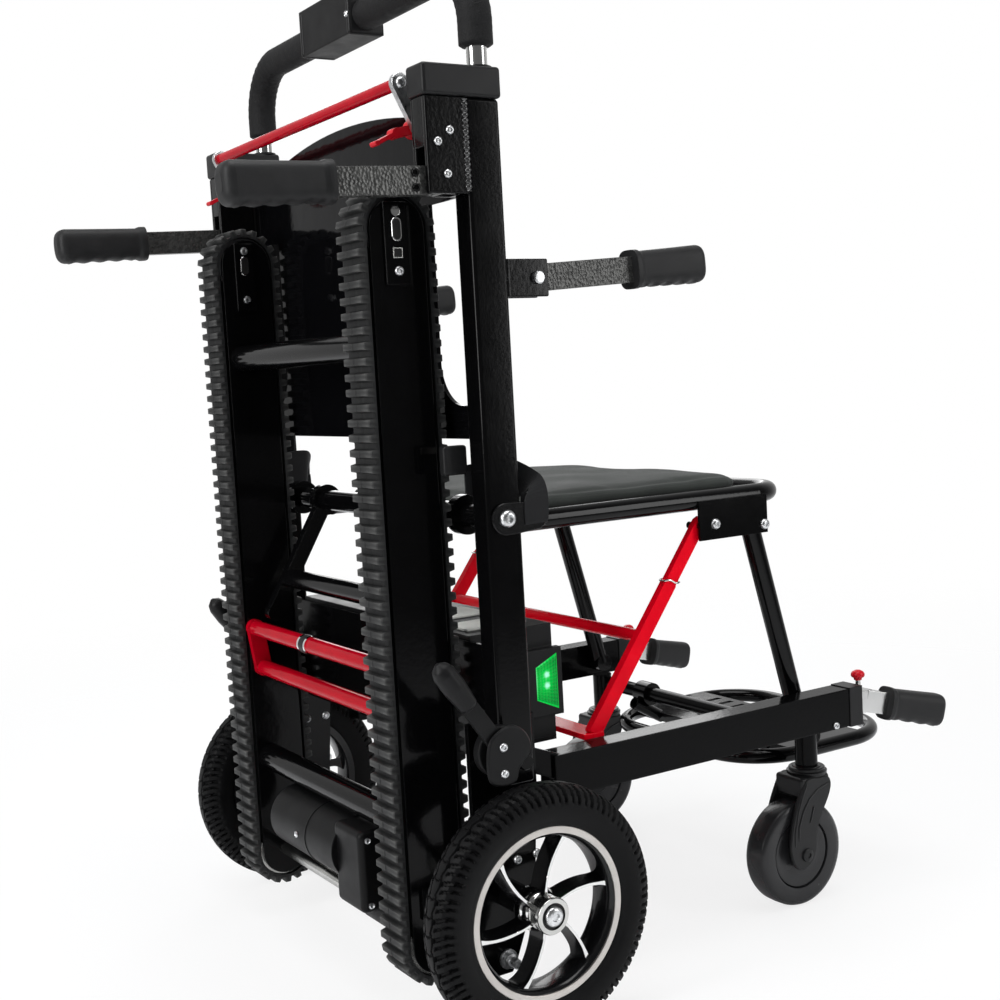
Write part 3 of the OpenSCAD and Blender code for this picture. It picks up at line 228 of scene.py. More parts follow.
def block(lo, hi, r, along=2, corner=5):
    """Box from lo to hi with edges of radius r: rounded rectangles stacked along one axis, each
    drawn in on a quarter circle near the two ends."""
    lo, hi = np.array(lo, float), np.array(hi, float)
    a, b = [k for k in range(3) if k != along]
    r = min(r, 0.49 * (hi - lo).min())
    turn = np.linspace(0, np.pi / 2, corner)
    left = np.concatenate([r * np.sin(turn), (r * np.sin(turn))[::-1]]) + 0.02 * r
    drawn = r * (1 - np.cos(turn))
    rise = np.concatenate([lo[along] + drawn, (hi[along] - drawn)[::-1]])
    angle = (np.arange(4)[:, None] * np.pi / 2 + turn).ravel()
    east = np.repeat([1, -1, -1, 1], corner) * ((hi - lo)[a] / 2 - r) + (hi + lo)[a] / 2
    north = np.repeat([1, 1, -1, -1], corner) * ((hi - lo)[b] / 2 - r) + (hi + lo)[b] / 2
    rings = np.zeros((len(left), len(angle), 3))
    rings[..., a] = east + left[:, None] * np.cos(angle)
    rings[..., b] = north + left[:, None] * np.sin(angle)
    rings[..., along] = rise[:, None]
    return skin(rings)


def lathe(profile, centre, axis=1, n=40):
    """Solid of revolution: profile of (distance along the axis, radius) turned once round the
    axis line through centre, a ring for each profile point."""
    profile = np.array(profile, float)
    a, b = [k for k in range(3) if k != axis]
    angle = np.linspace(0, 2 * np.pi, n, endpoint=False)
    rings = np.zeros((len(profile), n, 3))
    rings[..., axis] = centre[axis] + profile[:, :1]
    rings[..., a] = centre[a] + profile[:, 1:] * np.cos(angle)
    rings[..., b] = centre[b] + profile[:, 1:] * np.sin(angle)
    return skin(rings)


def rod(at, y0, y1, r, n=40):
    """Round bar of radius r across the chair from y0 to y1, at (x, z) in side view."""
    return lathe([(0, r), (y1 - y0, r)], (at[0], y0, at[1]), n=n)


def bolt(x, y, z, r, h):
    """Button-head screw that faces the left side: a low dome with a driver recess."""
    head = [(0, r), (0.35 * h, r), (0.8 * h, 0.86 * r), (h, 0.6 * r), (h, 0.46 * r), (0.5 * h, 0.4 * r)]
    return lathe(head, (x, y, z), n=24)


def plate(outline, y0, y1, r=0.8):
    """Flat plate: a side-view outline of (x, z) points drawn from y0 to y1, its rim chamfered by
    r towards the middle of the outline."""
    outline = np.array(outline, float)
    inward = outline.mean(0) - outline
    inward = outline + inward * (r / np.maximum(np.linalg.norm(inward, axis=1), r))[:, None]
    step = np.sign(y1 - y0) * r
    levels = [(y0, inward), (y0 + step, outline), (y1 - step, outline), (y1, inward)]
    return skin(np.stack([np.column_stack([o[:, 0], np.full(len(o), y), o[:, 1]]) for y, o in levels]))


def piece(name, body, parts, stands_for=(), crease=38):
    """One object from (shape, finish) parts, written in millimetres from the rear axle line and
    stored in metres in the shared frame; edges sharper than crease degrees stay sharp."""
    mesh = bpy.data.meshes.new(name)
    starts = np.cumsum([0] + [len(shape[0]) for shape, _ in parts])
    points = np.concatenate([shape[0] for shape, _ in parts]) * 0.001 + [axle_x, 0, 0]
    faces = [[k + start for k in face] for (shape, _), start in zip(parts, starts) for face in shape[1]]
    mesh.from_pydata(points, [], faces)
    finishes = list(dict.fromkeys(finish for _, finish in parts))
    for finish in finishes:
        mesh.materials.append(finish)
    which = np.concatenate([np.full(len(shape[1]), finishes.index(finish)) for shape, finish in parts])
    mesh.polygons.foreach_set("material_index", which.astype(np.int32))
    turned = bmesh.new()
    turned.from_mesh(mesh)
    bmesh.ops.recalc_face_normals(turned, faces=turned.faces)
    turned.to_mesh(mesh)
    turned.free()
    mesh.shade_smooth()
    mesh.set_sharp_from_angle(angle=radians(crease))
    made = bpy.data.objects.new(name, mesh)
    scene.collection.objects.link(made)
    flat = made.modifiers.new("flat_faces", "WEIGHTED_NORMAL")
    flat.keep_sharp = True
    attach(made, body)
    if stands_for:
        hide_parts(*stands_for)
    return made


def painted(finish, *shapes):
    """Shapes as parts of one finish."""
    return [(shape, finish) for shape in shapes]


def mirrored_parts(parts):
    """Parts drawn for the left side, moved to the right side."""
    return [((shape[0] * [1, -1, 1], shape[1]), finish) for shape, finish in parts]


def pair(parts):
    """Parts drawn for the left side, on both sides."""
    return mirrored_parts(parts) + parts


def each_side(name, body, parts, node=None, crease=38):
    """One piece a side from parts drawn for the left; {} in a body's name takes the side, and in
    a CAD node's name the side's first letter."""
    for side, made in (("right", mirrored_parts(parts)), ("left", parts)):
        stands_for = (node.format(side[0]),) if node else ()
        piece(name + "_" + side, body.format(side), made, stands_for, crease)


gloss_black = enamel("gloss_black_enamel", (0.002, 0.002, 0.0022), 0.15, spec=0.12, coat=0.08,
                     grain=0.05, grain_size=0.004)
bracket_black = enamel("bracket_black_enamel", (0.003, 0.003, 0.0032), 0.2, spec=0.14, coat=0.12,
                       grain=0.16, grain_size=0.004)
steel = enamel("bright_steel", (0.62, 0.62, 0.60), 0.22, metal=1, grain=0.05)
zinc = enamel("zinc_plate", (0.72, 0.73, 0.74), 0.3, metal=1, cloud=0.25, cloud_size=0.004)
weld = enamel("painted_weld", (0.05, 0.05, 0.05), 0.16, metal=0.5, coat=0.8, grain=0.2, grain_size=0.002)
tube_half, tube_in, tube_out, tube_low, tube_top = 19, 240.5, 268.5, 240, 889
mid_y, plate_in, hub_in, axle_z = (tube_in + tube_out) / 2, 234.5, 276, 123
bracket_back, bracket_low, room_top, room_half = 61, 801, 843, 7.6
clevis_front, clevis_low, clevis_top, clevis_half = 66, 706, 742, 11.5
rear_pivot, side_pivot, release_pivot = (-46, 814), (53, 724), (-42, 868)
rail_pivot, axle = (6, 262), (0, axle_z)
bracket_front, stub_r, axle_r, pin_r = 1 - tube_half, 14, 8, 4
wheel_plate = [(-38, 44), (-38, 300), (38, 300), (38, 228), (30, 123), (22, 98), (3, 52), (-2, 44)]
stud_head = [(0, 6), (47, 6), (47, 8), (51.5, 8), (52.5, 7), (52.5, 3)]
upright = painted(
    gloss_black,
    block((-tube_half, tube_in, tube_low), (tube_half, tube_out, tube_top), 4),
    plate(wheel_plate, plate_in, tube_in),
    rod(axle, plate_in, hub_in, stub_r),
    rod(axle, plate_in - 27, plate_in, axle_r),
    lathe(stud_head, (rail_pivot[0], 222, rail_pivot[1])))
upright += painted(
    bracket_black,
    *[block((-bracket_back, y0, bracket_low), (bracket_front, y1, tube_top), 2, along=1)
      for y0, y1 in ((tube_in, mid_y - room_half), (mid_y + room_half, tube_out))],
    block((-bracket_back, mid_y - 9, room_top), (bracket_front, mid_y + 9, tube_top), 1.5, along=1),
    block((-tube_half - 8, tube_in + 1, bracket_low), (bracket_front, tube_out - 1, room_top), 1),
    block((tube_half - 1, mid_y - 12, clevis_low), (tube_half + 4, mid_y + 12, clevis_top), 1.5),
    *[block((tube_half, mid_y + y0, clevis_low), (clevis_front, mid_y + y1, clevis_top), 1.6, along=1)
      for y0, y1 in ((-clevis_half, -room_half), (room_half, clevis_half))])
side_pin = [(-16, 4), (-14, 6), (-13.8, 6), (13.8, 6), (15.5, 6), (16.5, 4.5)]
inner_bolt = [(0, 5), (-1.5, 5), (-3.2, 4), (-3.8, 2.6), (-2.4, 2)]
upright += painted(
    zinc,
    rod(axle, hub_in, hub_in + 38, axle_r),
    rod(release_pivot, tube_in - 36, tube_in, pin_r, n=20),
    lathe(side_pin, (side_pivot[0], mid_y, side_pivot[1]), n=24),
    rod(rear_pivot, mid_y - 13, mid_y + 13, pin_r, n=24),
    *[lathe(inner_bolt, (x, plate_in + 0.1, 214), n=24) for x in (4.5, 30)])
bead_z = np.linspace(bracket_low + 2, tube_top - 2, 90)
bead_angle = np.linspace(0, 2 * np.pi, 10, endpoint=False)
bead_r = 1.7 + 1.6 * np.abs(np.sin(bead_z * np.pi / 5))
bead = np.stack([-tube_half + bead_r[:, None] * np.cos(bead_angle),
                 tube_out + 0.7 * bead_r[:, None] * np.sin(bead_angle),
                 np.repeat(bead_z[:, None], len(bead_angle), 1)], -1)
upright += painted(weld, skin(bead))
piece("upright_tubes", "chassis", pair(upright), ("uprights",))

# Moulded caps close the tube and bracket tops; the push handle passes through them.
satin_plastic = enamel("satin_grey_plastic", (0.011, 0.011, 0.0115), 0.42, spec=0.25, grain=0.25,
                       grain_size=0.0007)
cap_over, cap_top, handle_x, leg_y = 2, 918, 7, 252.3
cap_shell = block((-bracket_back - cap_over, tube_in - cap_over, tube_top + 0.1),
                  (tube_half + cap_over, tube_out + cap_over, cap_top), 3.5)
cap_collar = lathe([(0, 14), (2.2, 13.6), (3.0, 12.4), (3.0, 10.5)], (handle_x, leg_y, cap_top - 0.5), axis=2)
caps = painted(satin_plastic, cap_shell, cap_collar)
piece("upright_caps", "chassis", pair(caps), ("caps",))

# Rear wheels
# Solid rubber tyres with a block tread on cast wheels: black barrel and spokes, a machined lip,
# bright spoke edges, and a chromed hub held by a washer and a zinc bolt.
hub_y, tread_r, blocks, slot_deep, groove_deep, cut_deep = 292.5, 123, 44, 3.6, 3.0, 1.8
hub = (0, hub_y, axle_z)
tyre_rubber = enamel("tyre_rubber", (0.0045, 0.0045, 0.0048), 0.48, spec=0.12, cloud=0.25, cloud_size=0.02,
                     grain=0.35, grain_size=0.0009)


def treaded(y, r, turn):
    """Tread depth in millimetres at places across (y, r) and round (turn, radians): wide slots
    between slanted shoulder blocks, a slit in each block, two zigzag grooves and short cuts in
    the middle rib."""
    off = np.abs(y)
    count = turn * blocks / (2 * np.pi) + 0.025 * off
    share = count - np.floor(count)
    zigzag = 4 * np.abs(share - 0.5) - 1
    slot = slot_deep * ((np.abs(share - 0.5) > 0.39) & (off > 5.5))
    slit = groove_deep * ((np.abs(share - 0.46) < 0.075) & (off > 8.5))
    groove = groove_deep * (np.abs(off - 6 - 1.5 * zigzag) < 0.85)
    cut = cut_deep * ((np.abs(share - 0.75) < 0.05) & (off < 4))
    return np.max([slot, slit, groove, cut], axis=0) * np.clip((r - 106.5) / 4, 0, 1)


wall = np.array([(17.4, 115.6), (19.2, 113.4), (20.5, 110.8), (21.3, 108.2), (21.8, 105), (22, 101.5),
                 (21.5, 96.5), (20.2, 92), (19.4, 90.8), (19.0, 89), (18, 86), (17, 84.4)])
face_y = np.linspace(-16, 16, 43)
face = np.column_stack([face_y, tread_r - 5.6 * np.abs(face_y / 17) ** 2.4])
tyre_y, tyre_r = np.concatenate([face, wall, wall[::-1] * [-1, 1]]).T
tyre_turn = np.linspace(0, 2 * np.pi, blocks * 14, endpoint=False)[:, None]
deep = treaded(tyre_y, tyre_r, tyre_turn)
tyre = np.stack([(tyre_r - deep) * np.cos(tyre_turn),
                 hub_y + tyre_y - 0.55 * np.sign(tyre_y) * deep * (np.abs(tyre_y) > 17.1),
                 axle_z + (tyre_r - deep) * np.sin(tyre_turn)], -1)
each_side("rear_tyre", "wheel_{}", painted(tyre_rubber, skin(tyre, loop=True)), "tyre_{}", 30)

wheel_black = enamel("wheel_black", (0.005, 0.005, 0.0055), 0.18, spec=0.25, coat=0.2, grain=0.06,
                     grain_size=0.003)
machined = enamel("machined_alloy", (0.60, 0.57, 0.54), 0.38, metal=1, cloud=0.10, grain=0.15,
                  grain_size=0.0006)
chrome = enamel("chrome_plate", (0.80, 0.80, 0.79), 0.09, metal=1, cloud=0.04, grain=0.02)


def hoop(profile, centre, n):
    """Hollow ring about a line across the chair: a closed (offset, radius) profile turned once."""
    y, r = np.array(profile, float).T
    angle = np.linspace(0, 2 * np.pi, n, endpoint=False)[:, None]
    return skin(np.stack([centre[0] + r * np.cos(angle), centre[1] + y + 0 * angle,
                          centre[2] + r * np.sin(angle)], -1), loop=True)


def spoke(heading, front, rear, wide_front, wide_rear, r0=15, r1=75, bow=190, n=26):
    """Curved blade from hub to barrel: its middle line turns back by asin(radius / bow) from its
    heading, its front edge drops towards the barrel, and it is wider at the rear edge."""
    r = np.linspace(r0, r1, n)
    line = np.radians(heading) - np.arcsin(r / bow)
    mid = np.stack([r * np.cos(line), r * np.sin(line)], -1)
    along = np.gradient(mid, axis=0)
    along /= np.linalg.norm(along, axis=1)[:, None]
    square = np.stack([-along[:, 1], along[:, 0]], -1)
    flare = 1 + 0.9 * np.clip((r - 60) / 15, 0, 1) ** 2 + 0.7 * np.clip((26 - r) / 11, 0, 1) ** 2
    fall = front - 3.5 * np.clip((r - 20) / 55, 0, 1)
    side, depth = np.array([(-1, 0.12), (-0.8, 0), (0.8, 0), (1, 0.12), (1, 1), (-1, 1)]).T
    wide = (wide_front + (wide_rear - wide_front) * depth) * side / 2
    flat = mid[:, None] + square[:, None] * (wide * flare[:, None])[..., None]
    y = fall[:, None] + (rear - fall)[:, None] * depth
    return skin(np.stack([flat[..., 0], hub_y + y, axle_z + flat[..., 1]], -1))


barrel_line = [(-19, 84.3), (-19, 76), (-15, 73.6), (-6, 72.2), (8, 72.2), (13, 74.5), (15, 77), (15, 84.3)]
lip_line = [(14, 84.4), (16.4, 84.4), (17, 83.8), (17, 78.2), (16.4, 77.4), (14, 77.2)]
hub_line = [(-16, 17), (-15, 20.5), (-4, 22), (2, 21), (5, 18.4), (7, 17.2), (7, 9)]
nut_line = [(4, 17), (4, 17.4), (18.6, 17.4), (18.6, 12)]
flange_line = [(18, 16.4), (18.6, 18), (22.6, 18), (23.7, 17.2), (23.9, 16.2), (23.9, 13.0), (21.6, 12.8),
               (21.6, 8)]
wheel = [(hoop(barrel_line, hub, 120), wheel_black), (hoop(lip_line, hub, 120), machined),
         (lathe(hub_line, hub, n=56), chrome), (lathe(nut_line, hub, n=9), steel),
         (lathe(flange_line, hub, n=56), steel)]
first_spoke, spokes = 31.5, 6
for heading in first_spoke + 360 / spokes * np.arange(spokes):
    wheel += [(spoke(heading, 9.6, -9, 3.0, 10), wheel_black), (spoke(heading, 10.4, 9.2, 2.4, 2.8), chrome)]
each_side("rear_wheel", "wheel_{}", wheel, "rim_{}")
washer_line = [(21, 8), (21, 12.7), (22.2, 12.7), (22.2, 8)]
head_line = [(21.6, 9.8), (24.6, 9.8), (26.4, 8.8), (27.4, 6.8), (27.6, 4.2), (26, 3.4)]
stop_line = [(0, 10), (2.2, 10), (2.4, 7.4), (8, 7.4), (8.6, 5), (18, 5), (18.8, 4)]
plate_out = tube_in - 0.1
plate_bolts = [bolt(x, plate_out, z, 4.6, 3.5) for x, z in ((10, 156), (33, 157.5))]
plate_stop = lathe(stop_line, (-7, plate_out, 59), n=24)
axle_end = painted(satin_plastic, lathe(washer_line, hub))
axle_end += painted(zinc, lathe(head_line, hub, n=36), *plate_bolts, plate_stop)
each_side("axle_bolt", "chassis", axle_end)

# Stair crawler
# Two folded steel beams in gloss black carry rubber crawler belts round a driven drum below and
# an idler above; round tubes tie the beams together and a geared motor turns the lower shaft.


def dress(finish, *nodes):
    """Gives CAD pieces their finish in every slot."""
    for node in nodes:
        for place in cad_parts[node].material_slots:
            place.material = finish


beam_black = enamel("beam_black_enamel", (0.002, 0.002, 0.0022), 0.12, spec=0.10, coat=0.08, grain=0.05,
                    grain_size=0.006, edge=0.0015)
tube_black = enamel("tube_black_enamel", (0.002, 0.002, 0.0022), 0.12, spec=0.15, coat=0.12, grain=0.06,
                    grain_size=0.004, edge=0.0008)
dress(beam_black, "beams")
dress(tube_black, "crawler_tubes", "link_frame")

crawler_x, drum_z, idler_z, belt_in, belt_mid = -65, 80, 776, 32.4, 186
run_lugs, end_lugs, belt_t, lug_h = 48, 9, 3.8, 6
lugs = 2 * (run_lugs + end_lugs)
belt_rubber = enamel("belt_rubber", (0.010, 0.0103, 0.0106), 0.55, spec=0.25, cloud=0.3, cloud_size=0.012,
                     grain=0.4, grain_size=0.0012)


def on_track(lug, r):
    """Point (x, z) at radius r on the belt's path after a count of lugs: up the front run, over
    the idler, down the rear run and under the drum."""
    q = np.mod(lug, lugs)
    up, over = q / run_lugs, (q - run_lugs) / end_lugs * np.pi
    down, under = (q - run_lugs - end_lugs) / run_lugs, (q - 2 * run_lugs - end_lugs) / end_lugs * np.pi
    span = idler_z - drum_z
    spots = [q < run_lugs, q < run_lugs + end_lugs, q < 2 * run_lugs + end_lugs]
    x = np.select(spots, [r + 0 * q, r * np.cos(over), -r + 0 * q], -r * np.cos(under))
    z = np.select(spots, [drum_z + span * up, idler_z + r * np.sin(over), idler_z - span * down],
                  drum_z - r * np.sin(under))
    return crawler_x + x, z


lug_step = np.array([0.0, 0.16, 0.2, 0.27, 0.3, 0.5, 0.7, 0.73, 0.8, 0.84])
lug_rise = np.array([0, 0, 0.08, 0.9, 1, 1, 1, 0.9, 0.08, 0])
lug_highlight_share = np.array([0, 0, 0, 1, 0.8, 0.25, 0.8, 1, 0, 0])
belt_y = np.array([-23, -23, -22, -20.5, -7, -2.2, -1.4, 1.4, 2.2, 7, 20.5, 22, 23, 23])
belt_rise = np.array([0, 0.86, 0.97, 1, 1, 1, 0.94, 0.94, 1, 1, 1, 0.97, 0.86, 0])
lug_at = (np.arange(lugs)[:, None] + lug_step).ravel()
belt_h = np.where(belt_rise == 0, 0, (belt_t + lug_h * np.tile(lug_rise, lugs))[:, None] * belt_rise)
belt_x, belt_z = on_track(lug_at[:, None], belt_in + belt_h)
belt = skin(np.stack([belt_x, belt_mid + belt_y + 0 * belt_x, belt_z], -1), loop=True)
# Painted highlight: a pale grey over the lug tops, strongest at their top edges and at the belt's sides,
# carried as a point attribute.
lug_edge_highlight = np.clip((belt_h - belt_t) / lug_h, 0, 1) ** 2 * np.where(np.abs(belt_y) > 20, 1, 0.25)
lug_edge_highlight *= np.tile(lug_highlight_share, lugs)[:, None]
# The pale grey painted highlight on the lug tops is mixed into the rubber's base colour here.
rubber_tree = belt_rubber.node_tree
highlight_attribute = add(rubber_tree, "Attribute", attribute_name="lug_edge_highlight")
highlight_mix = add(rubber_tree, "Mix", {"B": (0.09, 0.09, 0.087, 1)}, data_type="RGBA")
base = rubber_tree.nodes["Principled BSDF"].inputs["Base Color"]
wire(rubber_tree,
     (base.links[0].from_socket, highlight_mix.inputs["A"]),
     (highlight_attribute.outputs["Fac"], highlight_mix.inputs["Factor"]),
     (highlight_mix.outputs["Result"], base))


def mark(made, name, values):
    """Writes a value for each point of a left shape, and the same for its right twin."""
    marks = made.data.attributes.new(name, "FLOAT", "POINT")
    marks.data.foreach_set("value", np.tile(values.ravel(), 2).astype(np.float32))


both_belts = pair(painted(belt_rubber, belt))
belts = piece("crawler_belts", "crawler", both_belts, ("belts",), crease=25)
mark(belts, "lug_edge_highlight", lug_edge_highlight)

# Belt tension plates on both sides of each beam: an eye, a slot, a square hole and a screw; the holes are
# painted shade.
# Painted shade: matte near-black patches, slightly proud of the plates, stand where the slots and the square
# hole are.
painted_hole_shade = enamel("painted_hole_shade_matte", (0.003, 0.003, 0.003), 0.6)
tension_x, beam_out, plate_face, inner_face = -67, 209.02, 212.4, 163.0
eye_z, slot_z, square_z, screw_z, tension_low, tension_top = 792, 775, 753, 736, 723, 801
under_face = plate_face - 0.2


def racetrack(half_x, half_z, n=10):
    """Slot outline about the tension plate's slot: two half circles joined by straight sides."""
    a = np.linspace(0, np.pi, n)
    top = np.column_stack([half_x * np.cos(a), half_z - half_x + half_x * np.sin(a)])
    return np.concatenate([top, -top]) + [tension_x, slot_z]


def slab(half, y0, y1):
    """Body of a tension plate from y0 to y1, half wide each side of its middle line."""
    return block((tension_x - half, y0, tension_low), (tension_x + half, y1, tension_top), 1.2, along=1)


def square(half, proud):
    """Square patch about the tension plate's square hole, proud of the plate's face."""
    return block((tension_x - half, under_face, square_z - half),
                 (tension_x + half, plate_face + proud, square_z + half), 0.3, along=1)


inner_screw = [(0, 4.6), (-1.2, 4.6), (-2.6, 3.8), (-3, 2.2), (-1.8, 1.8)]
# The near-black slot and square-hole patches below are painted shade standing in for the holes.
tension = [
    (slab(13, beam_out, plate_face), beam_black),
    (lathe([(0, 5), (0.5, 5), (0.7, 4.4)], (tension_x, under_face, eye_z), n=24), chrome),
    (plate(racetrack(5.2, 11.2), under_face, plate_face + 0.35, 0.3), chrome),
    (plate(racetrack(3.9, 9.8), under_face, plate_face + 0.6, 0.1), painted_hole_shade),
    (square(5, 0.35), steel),
    (square(4, 0.6), painted_hole_shade),
    (bolt(tension_x, plate_face, screw_z, 4.6, 3), zinc),
    (slab(12, inner_face - 2.4, inner_face + 0.4), beam_black),
    (plate(racetrack(5.0, 11), inner_face - 2.7, inner_face, 0.3), chrome),
    (plate(racetrack(3.8, 9.6), inner_face - 2.9, inner_face, 0.1), painted_hole_shade)]
inner_screws = [lathe(inner_screw, (tension_x, inner_face - 2.2, z), n=24) for z in (eye_z, screw_z)]
tension += painted(zinc, *inner_screws)
piece("belt_tension_plates", "crawler", pair(tension))

# The motor lies across the crawler: a seamed barrel with an end bell, and a gear case over the
# shaft.
motor_grey = enamel("motor_casting", (0.0045, 0.0045, 0.0048), 0.4, spec=0.14, grain=0.35,
                    grain_size=0.0011, edge=0.002)
drum_grey = enamel("drum_plastic", (0.05, 0.05, 0.052), 0.5, grain=0.2, edge=0.001)
dress(motor_grey, "motor")
dress(drum_grey, "idlers")
shaft_steel = enamel("shaft_steel", (0.56, 0.56, 0.54), 0.24, metal=1, cloud=0.2, grain=0.1, edge=0.0006)
dress(shaft_steel, "drive_shaft")
motor_x, motor_z, motor_end, case_near, case_far = -77, 144, 89.8, -124, -62
seam = lathe([(-1.2, 35.3), (-0.8, 35.8), (0.8, 35.8), (1.2, 35.3)], (motor_x, -3, motor_z), n=48)
end_bell = lathe([(0, 34), (2, 33.5), (4, 30), (4.6, 18), (4.6, 8)], (motor_x, motor_end, motor_z), n=48)
seam_screw = lathe([(0, 3.6), (-1.2, 3.4), (-1.6, 2.2), (-1, 1.6)], (-112.4, 18, motor_z), axis=0, n=18)
motor_trim = painted(motor_grey, seam, end_bell) + painted(zinc, seam_screw)
piece("motor_trim", "crawler", motor_trim)
case_box = block((-105, case_near, 92), (-42, case_far, 178), 7, along=0)
shaft_boss = lathe([(0, 15), (2, 17), (52, 17), (54, 15)], (crawler_x, case_near, 83), n=48)
case_screw = [(0, 3.2), (-2, 3), (-2.6, 2), (-1.6, 1.4)]
case_screws = [lathe(case_screw, (x, case_near + 0.2, z), n=18) for x in (-96, -51) for z in (101, 169)]
piece("gear_case", "crawler", painted(motor_grey, case_box, shaft_boss) + painted(zinc, *case_screws),
      ("gearbox",))

# Foot pedal
# Red enamelled double bar that the helper's foot presses to tip the crawler out, with a bright
# clip and its dark band round the upper bar.
gloss_red = enamel("gloss_red_enamel", (0.40, 0.001, 0.010), 0.13, spec=0.08, coat=0.05, cloud=0.10,
                   grain=0.03, grain_size=0.004, edge=0.0008)
dress(gloss_red, "pedal")
clip_at = (-87, 8, 353)
clip_ring = lathe([(-10, 9.2), (-10, 10.2), (10, 10.2), (10, 9.2)], clip_at)
clip_band = lathe([(-5.5, 10), (-5.5, 10.5), (5.5, 10.5), (5.5, 10)], clip_at)
piece("pedal_clip", "foot_pedal", [(clip_ring, chrome), (clip_band, satin_plastic)])

# Back rest
# Pressed steel panel in mirror-gloss black behind a thin upholstered pad on its front.
dress(enamel("mirror_black_enamel", (0.002, 0.002, 0.0024), 0.07, spec=0.10, coat=0.06, grain=0.04,
             grain_size=0.02, edge=0.001), "back_panel")


def squared(v, power):
    """Sign-kept power of v, below 1 for a squarer outline."""
    return np.sign(v) * np.abs(v) ** power


def cushion(length, width, thick, crown, draw, edge_r, n=120, power=0.2):
    """Crowned pad on a flat base, length along X from 0 and width across Y: squarish rings whose
    sides are drawn in between the corners, a round rim, and rings that climb to the crown."""
    a = np.linspace(0, 2 * np.pi, n, endpoint=False)
    u, v = squared(np.cos(a), power), squared(np.sin(a), power)
    rim = np.linspace(-np.pi / 2, np.pi / 2, 9)
    base, climb = np.linspace(0.08, 0.94, 9), np.linspace(0.97, 0.08, 14)
    share = np.concatenate([base, 1 + 0 * rim, climb])
    inset = np.concatenate([edge_r + 0 * base, edge_r * (1 - np.cos(rim)), edge_r + 0 * climb])
    z = np.concatenate([0 * base, np.where(rim < 0, edge_r, thick - edge_r) + edge_r * np.sin(rim),
                        thick + crown * (1 - climb ** 2)])
    long = share[:, None] * (length / 2 - inset[:, None] - draw * (1 - v * v)) * u
    wide = share[:, None] * (width / 2 - inset[:, None] - draw * (1 - u * u)) * v
    return skin(np.stack([long + length / 2, wide, np.repeat(z[:, None], n, 1)], -1))


def upholstery(name, colour, weave_mm, bump_height):
    """Woven cover: two crossed sets of fine waves for the yarns, a slow drift of colour, and a
    soft sheen at grazing angles."""
    made = enamel(name, colour, 0.86, spec=0.2, cloud=0.22, cloud_size=0.05)
    tree = made.node_tree
    shader = tree.nodes["Principled BSDF"]
    shader.inputs["Sheen Weight"].default_value = 0.12
    shader.inputs["Sheen Roughness"].default_value = 0.45
    place = add(tree, "TexCoord")
    cross = add(tree, "Math", operation="MULTIPLY")
    for k, direction in enumerate("XY"):
        yarn = add(tree, "TexWave", {"Scale": 314 / weave_mm, "Distortion": 1.5, "Detail": 1},
                   bands_direction=direction)
        wire(tree, (place.outputs["Object"], yarn.inputs["Vector"]), (yarn.outputs["Fac"], cross.inputs[k]))
    bump = next(node for node in tree.nodes if node.type == "BUMP")
    bump.inputs["Strength"].default_value = 0.5
    bump.inputs["Distance"].default_value = bump_height
    wire(tree, (cross.outputs["Value"], bump.inputs["Height"]))
    return made


def bake(made):
    """Applies an object's modifiers to its mesh."""
    finished = made.evaluated_get(bpy.context.evaluated_depsgraph_get())
    finished = bpy.data.meshes.new_from_object(finished)
    made.modifiers.clear()
    made.data = finished


def corners(made):
    """An object's points, shape (points, 3)."""
    flat = np.empty(len(made.data.vertices) * 3)
    made.data.vertices.foreach_get("co", flat)
    return flat.reshape(-1, 3)


def stuff(pad, cap, channel):
    """Fills a pad with Blender's cloth under light pressure, no point moving more than cap
    metres, then presses a sewn channel into it: channel(points) gives each point's press as
    a vector in metres. One subdivision finishes it."""
    pad.modifiers.clear()
    remesh = pad.modifiers.new("even_mesh", "REMESH")
    remesh.mode, remesh.voxel_size = "VOXEL", 0.005
    bake(pad)
    rest = corners(pad)
    cloth = pad.modifiers.new("stuffing", "CLOTH")
    cloth.settings.use_pressure = True
    cloth.settings.uniform_pressure_force = 4
    cloth.settings.effector_weights.gravity = 0
    for tick in range(1, 21):
        scene.frame_set(tick)
    bake(pad)
    scene.frame_set(1)
    move = corners(pad) - rest
    far = np.linalg.norm(move, axis=1, keepdims=True)
    move *= np.minimum(1, cap / np.maximum(far, 1e-9))
    pad.data.vertices.foreach_set("co", (rest + move).ravel())
    points = corners(pad)
    pad.data.vertices.foreach_set("co", (points + channel(points)).ravel())
    pad.data.shade_smooth()
    smooth = pad.modifiers.new("smooth", "SUBSURF")
    smooth.levels = smooth.render_levels = 1


seat_cloth = upholstery("seat_fabric", (0.040, 0.044, 0.040), 1.6, 0.0004)
pad_low, pad_high, pad_wide, pad_back = 624.5, 819, 323, -9.0
channel_y, border_y, border_low, border_top = 0.055, 0.142, 0.644, 0.800


def back_channels(points):
    """Two upright sewn channels and a border seam on the back pad's front face."""
    x, y, z = points.T
    to_seam = np.min([np.abs(np.abs(y) - channel_y), np.abs(np.abs(y) - border_y),
                      np.abs(z - border_low), np.abs(z - border_top)], axis=0)
    press = 0.0028 * np.exp(-(to_seam / 0.0035) ** 2) * (x > axle_x - 0.004)
    return np.column_stack([-press, 0 * press, 0 * press])


laid, pad_faces = cushion(pad_high - pad_low, pad_wide, 10.5, 2.5, 5, 4.5)
stood = np.column_stack([pad_back + laid[:, 2], laid[:, 1], pad_low + laid[:, 0]])
back_pad = piece("back_cushion", "chassis", [((stood, pad_faces), seat_cloth)], ("back_pad",))
stuff(back_pad, 0.003, back_channels)

